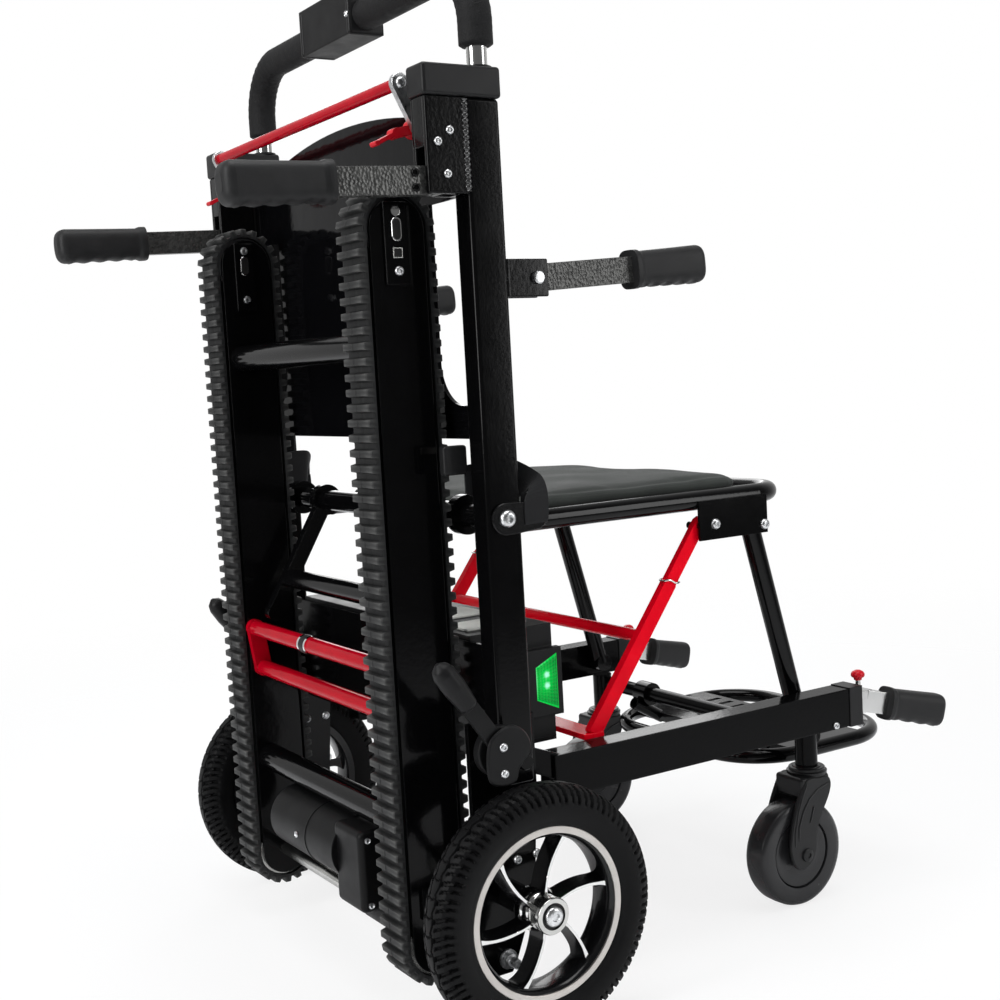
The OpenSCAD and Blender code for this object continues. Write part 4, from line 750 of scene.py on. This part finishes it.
# Push handle
# Chromed telescopic tube bent to a U, its top sleeved in ribbed foam, with a moulded control
# box on the crossbar and a rocker switch in its lid.
chrome_tube = enamel("chrome_tube", (0.70, 0.70, 0.69), 0.16, metal=1, cloud=0.08, grain=0.06,
                     grain_size=0.0008)
dress(chrome_tube, "handle_tube")
foam_black = enamel("foam_sleeve", (0.012, 0.012, 0.0125), 0.66, spec=0.2, cloud=0.25, cloud_size=0.008,
                    grain=0.6, grain_size=0.0016, cells=True)


def tube(path, r, n=24, side=(0, 1, 0)):
    """Round section of radius r (a number, or one for each point) carried along a path and kept
    square to it; side is a direction the path never takes."""
    path = np.asarray(path, float)
    r = np.broadcast_to(r, len(path))
    run = np.gradient(path, axis=0)
    run /= np.linalg.norm(run, axis=1)[:, None]
    u = np.cross(run, side)
    u /= np.linalg.norm(u, axis=1)[:, None]
    v = np.cross(run, u)
    a = np.linspace(0, 2 * np.pi, n, endpoint=False)[None, :, None]
    return skin(path[:, None] + r[:, None, None] * (np.cos(a) * u[:, None] + np.sin(a) * v[:, None]))


def domed(count, r, dome):
    """Radius along a bar of count points that rounds off over the first and last dome points."""
    end = np.minimum(np.arange(count), np.arange(count)[::-1]) / dome
    return r * np.sqrt(np.clip(1 - np.clip(1 - end, 0, 1) ** 2, 0.08, 1))


bar_z, bend_r, foam_r, foam_low = 1019, 58, 16.4, 937
leg_z = np.linspace(foam_low, bar_z - bend_r, 14)[:-1]
arc = np.linspace(0, np.pi / 2, 34)
bar_y = np.linspace(leg_y - bend_r, 0, 40)[1:]
half_y = np.concatenate([leg_y + 0 * leg_z, leg_y - bend_r + bend_r * np.cos(arc), bar_y])
half_z = np.concatenate([leg_z, bar_z - bend_r + bend_r * np.sin(arc), bar_z + 0 * bar_y])
half_path = np.column_stack([handle_x + 0 * half_y, half_y, half_z])
foam_path = np.concatenate([half_path, half_path[-2::-1] * [1, -1, 1]])
pucker = np.exp(-((np.arange(len(half_path)) - len(leg_z) - 16) / 14.0) ** 2)
pucker = np.concatenate([pucker, pucker[-2::-1]]) * np.sin(np.arange(len(foam_path)) * 1.9) * 0.35
foam = tube(foam_path, domed(len(foam_path), foam_r, 2.2) + pucker, n=32, side=(1, 0, 0))
piece("foam_sleeve", "push_handle", painted(foam_black, foam), ("handle_foam",), crease=60)

case_plastic = enamel("case_plastic", (0.007, 0.007, 0.0074), 0.45, spec=0.18, grain=0.35,
                      grain_size=0.0009, edge=0.003)
dress(case_plastic, "control_box")
dress(enamel("rocker_plastic", (0.05, 0.05, 0.052), 0.35, grain=0.1, edge=0.0015), "rocker")
band_half, band_low, band_top = 21, bar_z - 20.8, bar_z + 29.6
bands = [block((handle_x - band_half, y0, band_low), (handle_x + band_half, y1, band_top), 7, along=1)
         for y0, y1 in ((-37.6, -29), (77, 85.6))]
band_screw = lathe([(0, 3.4), (-1.4, 3.2), (-2, 2.2), (-1.2, 1.6)], (handle_x - 20.8, -33, bar_z), axis=0,
                   n=18)
lamp_dots = [lathe([(0, 2.4), (0.8, 2.2), (1.2, 1.4)], (handle_x, y, bar_z + 28.8), axis=2, n=20)
             for y in (58, 66)]
box_trim = painted(satin_plastic, *bands) + painted(zinc, band_screw) + painted(drum_grey, *lamp_dots)
piece("control_box_bands", "push_handle", box_trim)

# Release bar and latches
# Red pull bar between zinc links at the back of the frame, with red plastic finger latches.
red_plastic = enamel("red_plastic", (0.58, 0.004, 0.014), 0.36, spec=0.25, grain=0.15, edge=0.0012)
dress(red_plastic, "latches")
dress(gloss_red, "release_bar")


def strap(foot, tip, r_foot, r_tip, n=12):
    """Side-view outline of a flat bar from foot to tip, with a half circle round each end."""
    foot, tip = np.array(foot, float), np.array(tip, float)
    a = np.arctan2(*(tip - foot)[::-1]) - np.pi / 2 + np.linspace(0, np.pi, n)
    arc = np.column_stack([np.cos(a), np.sin(a)])
    return np.concatenate([tip + r_tip * arc, foot - r_foot * arc])


release_top, link_r, link_in, link_out = (-62, 907), 9.4, 221.6, 228.4
release_link = plate(strap(release_pivot, release_top, link_r, link_r), link_in, link_out, 0.6)
link_screw = bolt(release_top[0], link_out - 0.2, release_top[1], 5.2, 3)
piece("release_links", "release", pair(painted(zinc, release_link, link_screw)))

# Carry handles
# Flat steel arms in black hammer paint, riveted at the pivot, with moulded rubber grips that
# swell at the lip and carry finger waves below.
hammer_black = enamel("hammer_black_paint", (0.065, 0.065, 0.062), 0.28, spec=0.5, metal=0.4, cloud=0.3,
                      cloud_size=0.006, grain=0.5, grain_size=0.0032, cells=True, edge=0.0015)
dress(hammer_black, "rear_arm_r", "rear_arm_l", "side_arm_r", "side_arm_l")
grip_rubber = enamel("grip_rubber", (0.017, 0.017, 0.0175), 0.5, spec=0.25, cloud=0.2, cloud_size=0.02,
                     grain=0.4, grain_size=0.0008)
grip_high, grip_wide = 40, 34


def hand_grip(x_in, x_out, y, z, waves=4, deep=0.8):
    """Moulded grip along X from its lip to its closed end: rounded-rectangle rings with a raised
    lip, a slight waist, finger waves along the underside and a domed end."""
    dome = 1 - 0.1 * (1 - np.sin(np.linspace(0, np.pi / 2, 10)))
    t = np.concatenate([[0, 0.004, 0.03, 0.06, 0.075, 0.1], np.linspace(0.12, 0.9, 46), dome])
    size = np.interp(t, [0, 0.004, 0.06, 0.1, 0.5, 0.9, 1], [0.9, 0.98, 0.98, 0.9, 0.93, 0.97, 0.97])
    size *= np.sqrt(np.clip(1 - np.clip((t - 0.9) / 0.1, 0, 1) ** 2, 0.05, 1)) ** 0.55
    wave = deep * np.sin((t - 0.14) / 0.74 * waves * 2 * np.pi - np.pi / 2) * ((t > 0.14) & (t < 0.88))
    a = np.linspace(0, 2 * np.pi, 40, endpoint=False)
    c, d = squared(np.cos(a), 0.62), squared(np.sin(a), 0.62)
    under = np.clip(-d, 0, 1) ** 2
    return skin(np.stack([np.repeat((x_in + (x_out - x_in) * t)[:, None], len(a), 1),
                          y + grip_wide / 2 * size[:, None] * c,
                          z + grip_high / 2 * size[:, None] * d + wave[:, None] * under], -1))


def tilt(shape, pivot, degrees):
    """The shape turned in side view about a pivot (x, z), front end up for positive degrees."""
    c, s = np.cos(radians(degrees)), np.sin(radians(degrees))
    x, z = shape[0][:, 0] - pivot[0], shape[0][:, 2] - pivot[1]
    return np.column_stack([pivot[0] + c * x - s * z, shape[0][:, 1], pivot[1] + s * x + c * z]), shape[1]


rear_tilt, side_tilt = 2, 3.5
rear_grip = tilt(hand_grip(-153, -257, mid_y, rear_pivot[1]), rear_pivot, rear_tilt)
side_grip = tilt(hand_grip(172, 264, mid_y, side_pivot[1]), side_pivot, side_tilt)
each_side("rear_grip", "rear_handle_{}", painted(grip_rubber, rear_grip), "rear_grip_{}", 50)
each_side("side_grip", "side_handle_{}", painted(grip_rubber, side_grip), "side_grip_{}", 50)
rivets = [tilt(bolt(-71, 261.4, z, 4, 2.6), rear_pivot, rear_tilt) for z in (807.5, 821)]
each_side("rear_arm_rivets", "rear_handle_{}", painted(gloss_black, *rivets))

# Seat
# Black tube frame on the seat axle with a thin sewn fabric pad; webbing loops of the lap belt
# hang from plates bolted at the seat pivot.
dress(tube_black, "seat_axle", "seat_frame", "legs")
seat_back, seat_long, seat_wide, seat_base = 50, 330, 390, 490.2


def seat_channels(points):
    """Border seam 17 mm in from the rim of the seat pad, and a slow wave over its top."""
    x, y, z = (points[:, 0] - axle_x) * 1000, points[:, 1] * 1000, points[:, 2]
    to_rim = np.min([x - seat_back, seat_back + seat_long - x, seat_wide / 2 - np.abs(y)], axis=0)
    top = z > 0.501
    press = 0.0022 * np.exp(-((to_rim - 17) / 3.0) ** 2) * top
    wavy = 0.0012 * np.sin(x / 21) * np.sin(y / 26 + 0.6) * top
    return np.column_stack([0 * press, 0 * press, wavy - press])


laid, pad_faces = cushion(seat_long, seat_wide, 15, 2.5, 4, 5)
seat_pad = piece("seat_cushion", "seat", [((laid + [seat_back, 0, seat_base], pad_faces), seat_cloth)],
                 ("seat_pad",))
stuff(seat_pad, 0.004, seat_channels)

webbing = upholstery("belt_webbing", (0.014, 0.014, 0.015), 1.1, 0.0003)
anchor_black = enamel("anchor_black", (0.005, 0.005, 0.0053), 0.2, spec=0.2, coat=0.1, grain=0.08,
                      grain_size=0.004, edge=0.001)
anchor_r, anchor_z = 15.5, 497.5
turn_back = np.linspace(np.pi / 2, 3 * np.pi / 2, 24)
anchor_line = np.concatenate([
    np.column_stack([anchor_r * np.cos(turn_back), anchor_z + anchor_r * np.sin(turn_back)]),
    [(12, 482.4), (38, 485), (43, 488), (44, 494), (43, 505), (36, 511), (12, 512.6)]])
piece("belt_anchor_plates", "chassis", pair(painted(anchor_black, plate(anchor_line, 268.6, 272.4, 0.7))),
      ("belt_anchors",))


def eased(a, b, c, d, f):
    """Point a share f of the way from b to c on a smooth curve through a, b, c and d
    (Catmull-Rom)."""
    bend, twist = 2 * a - 5 * b + 4 * c - d, 3 * b - a - 3 * c + d
    return 0.5 * (2 * b + (c - a) * f + bend * f ** 2 + twist * f ** 3)


def ribbon(one_edge, other_edge, thick, n=60):
    """Flat webbing between two edge lines of matching points: both are smoothed into n stations,
    seven points run across each, and the back lies thick millimetres behind the front."""
    t = np.linspace(0, len(one_edge) - 1, n)
    k = np.clip(np.floor(t).astype(int), 0, len(one_edge) - 2)
    ends = []
    for points in (np.array(one_edge, float), np.array(other_edge, float)):
        drawn = np.concatenate([2 * points[:1] - points[1:2], points, 2 * points[-1:] - points[-2:-1]])
        ends.append(eased(*(drawn[k + j] for j in range(4)), (t - k)[:, None]))
    share = np.linspace(0, 1, 7)[None, :, None]
    front = ends[0][:, None] * (1 - share) + ends[1][:, None] * share
    along, wide = np.gradient(front, axis=0), ends[1] - ends[0]
    off = np.cross(along, wide[:, None])
    off *= thick / np.linalg.norm(off, axis=2, keepdims=True)
    return skin(np.concatenate([front, (front - off)[:, ::-1]], axis=1))


belt_rear = [(22, 264, 520), (21, 265, 502), (20.5, 269, 489), (20, 273.5, 492), (20, 274, 506),
             (22, 273, 516), (29, 268, 524), (32, 258, 521), (30, 247, 515), (25, 238.5, 512),
             (14, 236.5, 512), (0, 236.5, 514), (-22, 236.5, 522)]
belt_front = [(45, 264, 520), (46, 265, 502), (46, 269, 490), (46, 273.5, 493), (47, 274, 508),
              (47, 272, 524), (45, 267, 535), (42, 258, 541), (37, 247, 547), (29, 238.5, 552),
              (16, 236.5, 553), (2, 236.5, 552), (-22, 236.5, 549)]
buckle = block((-46, 229, 541), (-20, 240, 569), 3, along=1)
tongue = block((-43, 227.6, 560), (-23, 230, 567), 1, along=1)
lap_belt = [(ribbon(belt_rear, belt_front, 2), webbing), (buckle, satin_plastic), (tongue, machined)]
piece("lap_belt_loops", "chassis", pair(lap_belt), ("lap_belt",), crease=50)

# Folding strut
# Red struts under the seat: the lower half is a sleeve over the upper, with a wire safety clip
# at the joint.
strut_foot, strut_head, strut_y = np.array([138.0, 250]), np.array([294.0, 456]), 193
strut_long, bar_share, joint_up, sleeve_up = np.linalg.norm(strut_head - strut_foot), 0.46, 190, 186
strut_up = (strut_head - strut_foot) / strut_long
strut_side = np.array([strut_up[1], -strut_up[0]])


def on_strut(side, y, up):
    """Points beside the strut's joint: side millimetres square to it, y across, up along it."""
    joint = strut_foot + joint_up * strut_up
    flat = joint + np.multiply.outer(side, strut_side) + np.multiply.outer(up, strut_up)
    return np.stack([flat[..., 0], strut_y + y, flat[..., 1]], -1)


def strut_bar(start, end, half, y0, y1):
    """Flat bar in side view between two distances along the strut, half wide each side."""
    corner_up = np.array([start, end, end + 0.6 * half, end + 0.6 * half, end, start])
    corner_side = half * np.array([-1, -1, -0.7, 0.7, 1, 1])
    return plate(strut_foot + corner_up[:, None] * strut_up + corner_side[:, None] * strut_side, y0, y1, 0.9)


strut_red = enamel("strut_red_enamel", (0.90, 0.001, 0.014), 0.24, spec=0.06, coat=0.04, cloud=0.08,
                   grain=0.06, grain_size=0.004)
foot_half, foot_t, foot_reach, bar_reach, bar_r = 13, 3, 202, 200, 6.8
foot_x, foot_z = strut_foot
foot_bar = block((foot_x - foot_half, -foot_reach, foot_z - foot_t),
                 (foot_x + foot_half, foot_reach, foot_z + foot_t), 1)
cross_bar = rod(strut_foot + bar_share * (strut_head - strut_foot), -bar_reach, bar_reach, bar_r, n=32)
upper_bar = strut_bar(0, strut_long + 5, 7.4, 193.5, 201.2)
sleeve = strut_bar(1, sleeve_up, 8.0, 192.8, 201.9)
strut = painted(strut_red, cross_bar, foot_bar) + pair(painted(strut_red, upper_bar, sleeve))
piece("strut_bars", "strut", strut, ("strut_frame",))
wire_a = np.linspace(0, 2 * np.pi, 60)
wire_side, wire_y = 9.4 * squared(np.cos(wire_a), 0.4), 4.4 + 5.9 * squared(np.sin(wire_a), 0.4)
wire_path = on_strut(wire_side, wire_y, 5 * np.cos(wire_a) - 2)
wire_clip = tube(wire_path, 1.1, n=8, side=(0.3, 0.2, 0.93))
piece("strut_clips", "strut", pair(painted(steel, wire_clip)))

# Lower rails and front bars
# Rectangular black rails with moulded end caps; chromed bars slide out of them, held by red
# plunger knobs, and end in bent rubber grips.
rail_black = enamel("rail_black_enamel", (0.002, 0.002, 0.0022), 0.15, spec=0.06, coat=0.06, grain=0.08,
                    grain_size=0.005, edge=0.003)
dress(rail_black, "rails")
dress(enamel("rail_cap_plastic", (0.010, 0.010, 0.0105), 0.35, spec=0.25, grain=0.2, edge=0.002), "rail_caps")
chrome_bar = enamel("chrome_bar", (0.66, 0.66, 0.65), 0.2, metal=1, cloud=0.1, grain=0.12,
                    grain_size=0.001, edge=0.0015)
dress(chrome_bar, "slide_r", "slide_l")
elbow, grip_reach, grip_long = np.array([515.0, 222, 227]), 113.0, 82
grip_drop, grip_out = radians(14), radians(10)


def at_elbow(shape):
    """Carries a shape drawn along X from the elbow into the bar's bend: first down by grip_drop,
    then outward by grip_out."""
    x, y, z = shape[0].T
    x, z = x * np.cos(grip_drop) + z * np.sin(grip_drop), z * np.cos(grip_drop) - x * np.sin(grip_drop)
    x, y = x * np.cos(grip_out) - y * np.sin(grip_out), x * np.sin(grip_out) + y * np.cos(grip_out)
    return np.column_stack([x, y, z]) + elbow, shape[1]


front_grip = at_elbow(hand_grip(grip_reach - grip_long, grip_reach, 0, 0, waves=3))
each_side("front_grip", "front_bar_{}", painted(grip_rubber, front_grip), "front_grip_{}", 50)
plunger_at = (507, 222, 227.3)
knob_line = [(25.5, 4.4), (28, 5), (29, 7), (30.5, 8), (33, 8), (35.5, 6.4), (37, 3.4), (37.2, 0.6)]
plunger = [(lathe(knob_line, plunger_at, axis=2, n=32), red_plastic),
           (lathe([(0, 3), (26, 3)], plunger_at, axis=2, n=24), steel)]
each_side("plunger_knob", "plunger_{}", plunger, "knob_{}")
each_side("rail_screw", "rail_frame", painted(zinc, bolt(455, 235.9, 209.5, 4.2, 3.2)))

# Casters
# Glossy rubber tread on a stepped wheel of the same gloss, in a ridged moulded fork with a
# stepped swivel collar and a zinc stem.
caster_rubber = enamel("caster_rubber", (0.018, 0.018, 0.019), 0.24, spec=0.35, cloud=0.15, grain=0.08,
                       grain_size=0.003)
fork_plastic = enamel("fork_plastic", (0.011, 0.011, 0.0115), 0.36, spec=0.25, grain=0.2, grain_size=0.001)
swivel_x, swivel_y, caster_trail, caster_r, cheek_in, cheek_out = 441.0, 200.0, 26, 62, 18, 23.4
caster_at = (swivel_x - caster_trail, swivel_y, caster_r)
tread_half = [(10, 61.6), (13.6, 60.2), (15.4, 57), (15.9, 52), (15.4, 44), (14.6, 41), (10.5, 40.5), (9, 39)]
core_half = [(9.5, 40.6), (13, 39), (13.4, 36), (12.2, 32), (12.6, 20), (14.6, 17), (14.6, 10), (13, 6)]


def two_halves(half, middle=()):
    """Profile of (offset, radius): the half's mirror image in reverse order, the points in the
    middle, then the half itself."""
    return [(-y, r) for y, r in half[::-1]] + list(middle) + half


tread_line, core_line = two_halves(tread_half, [(0, caster_r)]), two_halves(core_half)
caster = painted(caster_rubber, hoop(tread_line, caster_at, 96), lathe(core_line, caster_at, n=72))
each_side("caster_wheel", "caster_{}", caster, "caster_{}", 45)


def smooth_loop(points, n=90):
    """Closed smooth curve through points (Catmull-Rom), n samples."""
    points = np.asarray(points, float)
    t = np.linspace(0, len(points), n, endpoint=False)
    k = np.floor(t).astype(int)
    return eased(*(points[(k + j) % len(points)] for j in (-1, 0, 1, 2)), (t % 1)[:, None])


cheek_line = smooth_loop([(420, 150), (436, 150), (452, 148), (457, 140), (453, 126), (441, 105), (432, 83),
                          (428, 60), (416, 47), (402, 47), (393, 60), (391, 80), (398, 111), (409, 135)])
ridge_lines = [[(454, 141), (435, 136), (422, 128), (411, 114), (404, 97), (403, 80)],
               [(419, 146), (412, 134), (404, 116), (398, 92), (397, 74)],
               [(428, 118), (425, 109), (421, 98)]]
collar_line = [(-10, 23), (-6, 23.4), (-5.2, 22.6), (-5, 21), (-2.4, 21), (-1.6, 20.2), (-1.4, 17),
               (-0.4, 16.4), (-0.4, 8)]
axle_head = np.array([(0, 8), (2.4, 7.6), (3.2, 6), (3.2, 3.4), (2, 3)])
ridge_n, ridge_r = 40, 1.3
fork_shapes = [block((411, swivel_y - 22, 127), (456, swivel_y + 22, 151.5), 4, along=1),
               lathe(collar_line, (swivel_x, swivel_y, 159.8), axis=2, n=56)]
for out in (1, -1):
    fork_shapes += [plate(cheek_line, swivel_y + min(out * cheek_in, out * cheek_out),
                          swivel_y + max(out * cheek_in, out * cheek_out), 1.6),
                    lathe(axle_head * [out, 1], (caster_at[0], swivel_y + out * 23, caster_r), n=24)]
    for line in ridge_lines:
        x, z = np.array(line, float).T
        t, at = np.linspace(0, 1, ridge_n), np.linspace(0, 1, len(line))
        y = np.full(ridge_n, swivel_y + out * 23.2)
        ridge = np.column_stack([np.interp(t, at, x), y, np.interp(t, at, z)])
        fork_shapes.append(tube(ridge, domed(ridge_n, ridge_r, 5), n=10))
fork_metal = [lathe([(-23, 5), (23, 5)], caster_at, n=24),
              lathe([(-28, 8), (40, 8)], (swivel_x, swivel_y, 160), axis=2)]
each_side("caster_fork", "fork_{}", painted(fork_plastic, *fork_shapes) + painted(zinc, *fork_metal),
          "fork_{}")

# Footrest
# One gloss black tube ring with a slotted tread plate, hung on the rails' front tube.
dress(tube_black, "footrest")

# Battery and lamps
# Moulded battery case with pale foam pads on top, on a sheet tray; lit green lenses close the
# lamp holders at both ends.
battery_plastic = enamel("battery_plastic", (0.007, 0.007, 0.0075), 0.42, spec=0.2, grain=0.3,
                         grain_size=0.001, edge=0.003)
dress(battery_plastic, "battery_box")
dress(rail_black, "battery_tray")
pale_pad = enamel("pale_foam_pad", (0.75, 0.75, 0.70), 0.8, cloud=0.12, grain=0.4)
foam_pads = [block((8, y0, 375.6), (80, y1, 378.4), 1) for y0, y1 in ((-172, -128), (-96, -40))]
piece("battery_top_pads", "chassis", painted(pale_pad, *foam_pads))
lens_green = enamel("lit_green_lens", (0.001, 0.05, 0.012), 0.25, spec=0.1, coat=0.05, grain=0.2,
                    grain_size=0.003)
lens_tree = lens_green.node_tree
lens_shader = lens_tree.nodes["Principled BSDF"]
lens_lit = add(lens_tree, "Attribute", attribute_name="lit")
shade = add(lens_tree, "ValToRGB")
shade.color_ramp.elements[0].color = (0.0, 0.045, 0.008, 1)
shade.color_ramp.elements[1].color = (0.45, 1.0, 0.75, 1)
shade.color_ramp.elements.new(0.5).color = (0.0, 0.60, 0.06, 1)
wire(lens_tree,
     (lens_lit.outputs["Fac"], shade.inputs["Fac"]),
     (shade.outputs["Color"], lens_shader.inputs["Emission Color"]))
lens_shader.inputs["Emission Strength"].default_value = 1.0
lens_x0, lens_x1, lens_z0, lens_z1, lens_y, lens_slope = 67.0, 93.0, 288.0, 346.0, 205.1, 12
u, v = np.meshgrid(np.linspace(0, 1, 40), np.linspace(0, 1, 60), indexing="ij")
lens_x = lens_x0 + (lens_x1 - lens_x0) * u
lens_low = lens_z0 + lens_slope * (1 - u)
lens_z = lens_low + (lens_z1 - lens_slope * (1 - u) - lens_low) * v
prism = np.abs((v * 14 % 1) - 0.5) + np.abs((u * 7 % 1) - 0.5)
rim_in = np.clip(np.min([u, 1 - u, v, 1 - v], axis=0) / 0.05, 0, 1)
lens_front = np.stack([lens_x, lens_y + (0.6 + 0.9 * prism) * rim_in, lens_z], -1)
lens_back = np.stack([lens_x, np.full_like(lens_x, lens_y - 0.1), lens_z], -1)
lens_shape = skin(np.concatenate([lens_front, lens_back[:, ::-1]], axis=1))


def halo(x, z, wide, high):
    """Light at each point of the lens that falls off from (x, z) over wide by high millimetres."""
    return np.exp(-(((lens_x - x) / wide) ** 2 + ((lens_z - z) / high) ** 2))


lamp_x = 79.5
lamps = halo(lamp_x, 314, 3, 3) + halo(lamp_x, 325.5, 3, 3)
lit = 0.05 + 0.18 * prism + 0.33 * halo(lamp_x - 3, 320, 12, 18) + 0.8 * lamps + 0.28 * (rim_in < 1)
lit = np.clip(lit, 0, 1)
both_lenses = pair(painted(lens_green, lens_shape))
lenses = piece("lamp_lenses", "chassis", both_lenses, ("lamp_lenses",), crease=20)
mark(lenses, "lit", np.concatenate([lit, lit[:, ::-1]], axis=1))

# Parking brakes
# Round moulded housings on the uprights with short levers that swell into a grip.
brake_plastic = enamel("brake_plastic", (0.007, 0.007, 0.0074), 0.38, spec=0.2, grain=0.25,
                       grain_size=0.001, edge=0.002)
brake_at, brake_up = np.array([-25.0, 279]), np.array([-np.sin(radians(35)), np.cos(radians(35))])
blade_long, blade_in, blade_out, lever_y = 60, 280.6, 286.4, 283.5
blade = plate(strap(brake_at, brake_at + blade_long * brake_up, 9, 8.5), blade_in, blade_out, 0.8)
lever_t = np.concatenate([np.linspace(61, 67, 6), np.linspace(69, 104, 30),
                          104 + 12 * np.sin(np.linspace(0.1, np.pi / 2, 9))])
lever_r = np.interp(lever_t, [61, 63, 71, 87, 104, 111, 116], [7, 9.6, 10.2, 11.6, 11.2, 8.6, 2.0])
lever_x, lever_z = (brake_at + lever_t[:, None] * brake_up).T
lever_grip = tube(np.column_stack([lever_x, np.full(len(lever_t), lever_y), lever_z]), lever_r, n=28)
each_side("brake_lever", "brake_{}", painted(brake_plastic, blade, lever_grip), "brake_{}", 45)
cover_line = smooth_loop([(-23, 306), (-8, 301), (1, 288), (0, 276), (-12, 263), (-17, 251), (-31, 249),
                          (-45, 255), (-48, 273), (-43, 295)])
disc_line = [(0, 24.6), (9, 24.6), (10, 23.4), (10, 5), (20.6, 5)]
base_disc = lathe(disc_line, (brake_at[0], tube_out, brake_at[1]))
housing = painted(brake_plastic, base_disc, plate(cover_line, 287, 291.4, 1.8))
piece("brake_housings", "chassis", pair(housing), ("brake_covers",))

# Screws
# Zinc button-head screws at the seat pivot, the rear brackets, the brake housings and the seat's
# bracket plates.
screws = [bolt(0, 272.5, 498, 8.5, 5.5)]
screws += [bolt(x, tube_out - 0.1, z, 4.2, 3) for x, z in ((-36.6, 858), (-49.5, 847.6), (-41, 818.6))]
screws += [bolt(-30, 291.2, z, 4.4, 2.6) for z in (286.5, 261)]
piece("frame_screws_zinc", "chassis", pair(painted(zinc, *screws)), ("frame_screws",))
plate_screws = [bolt(x, 207.4, z, 6, 4) for x, z in ((311, 457), (383, 449.5))]
piece("seat_plate_screws", "seat", pair(painted(zinc, *plate_screws)))
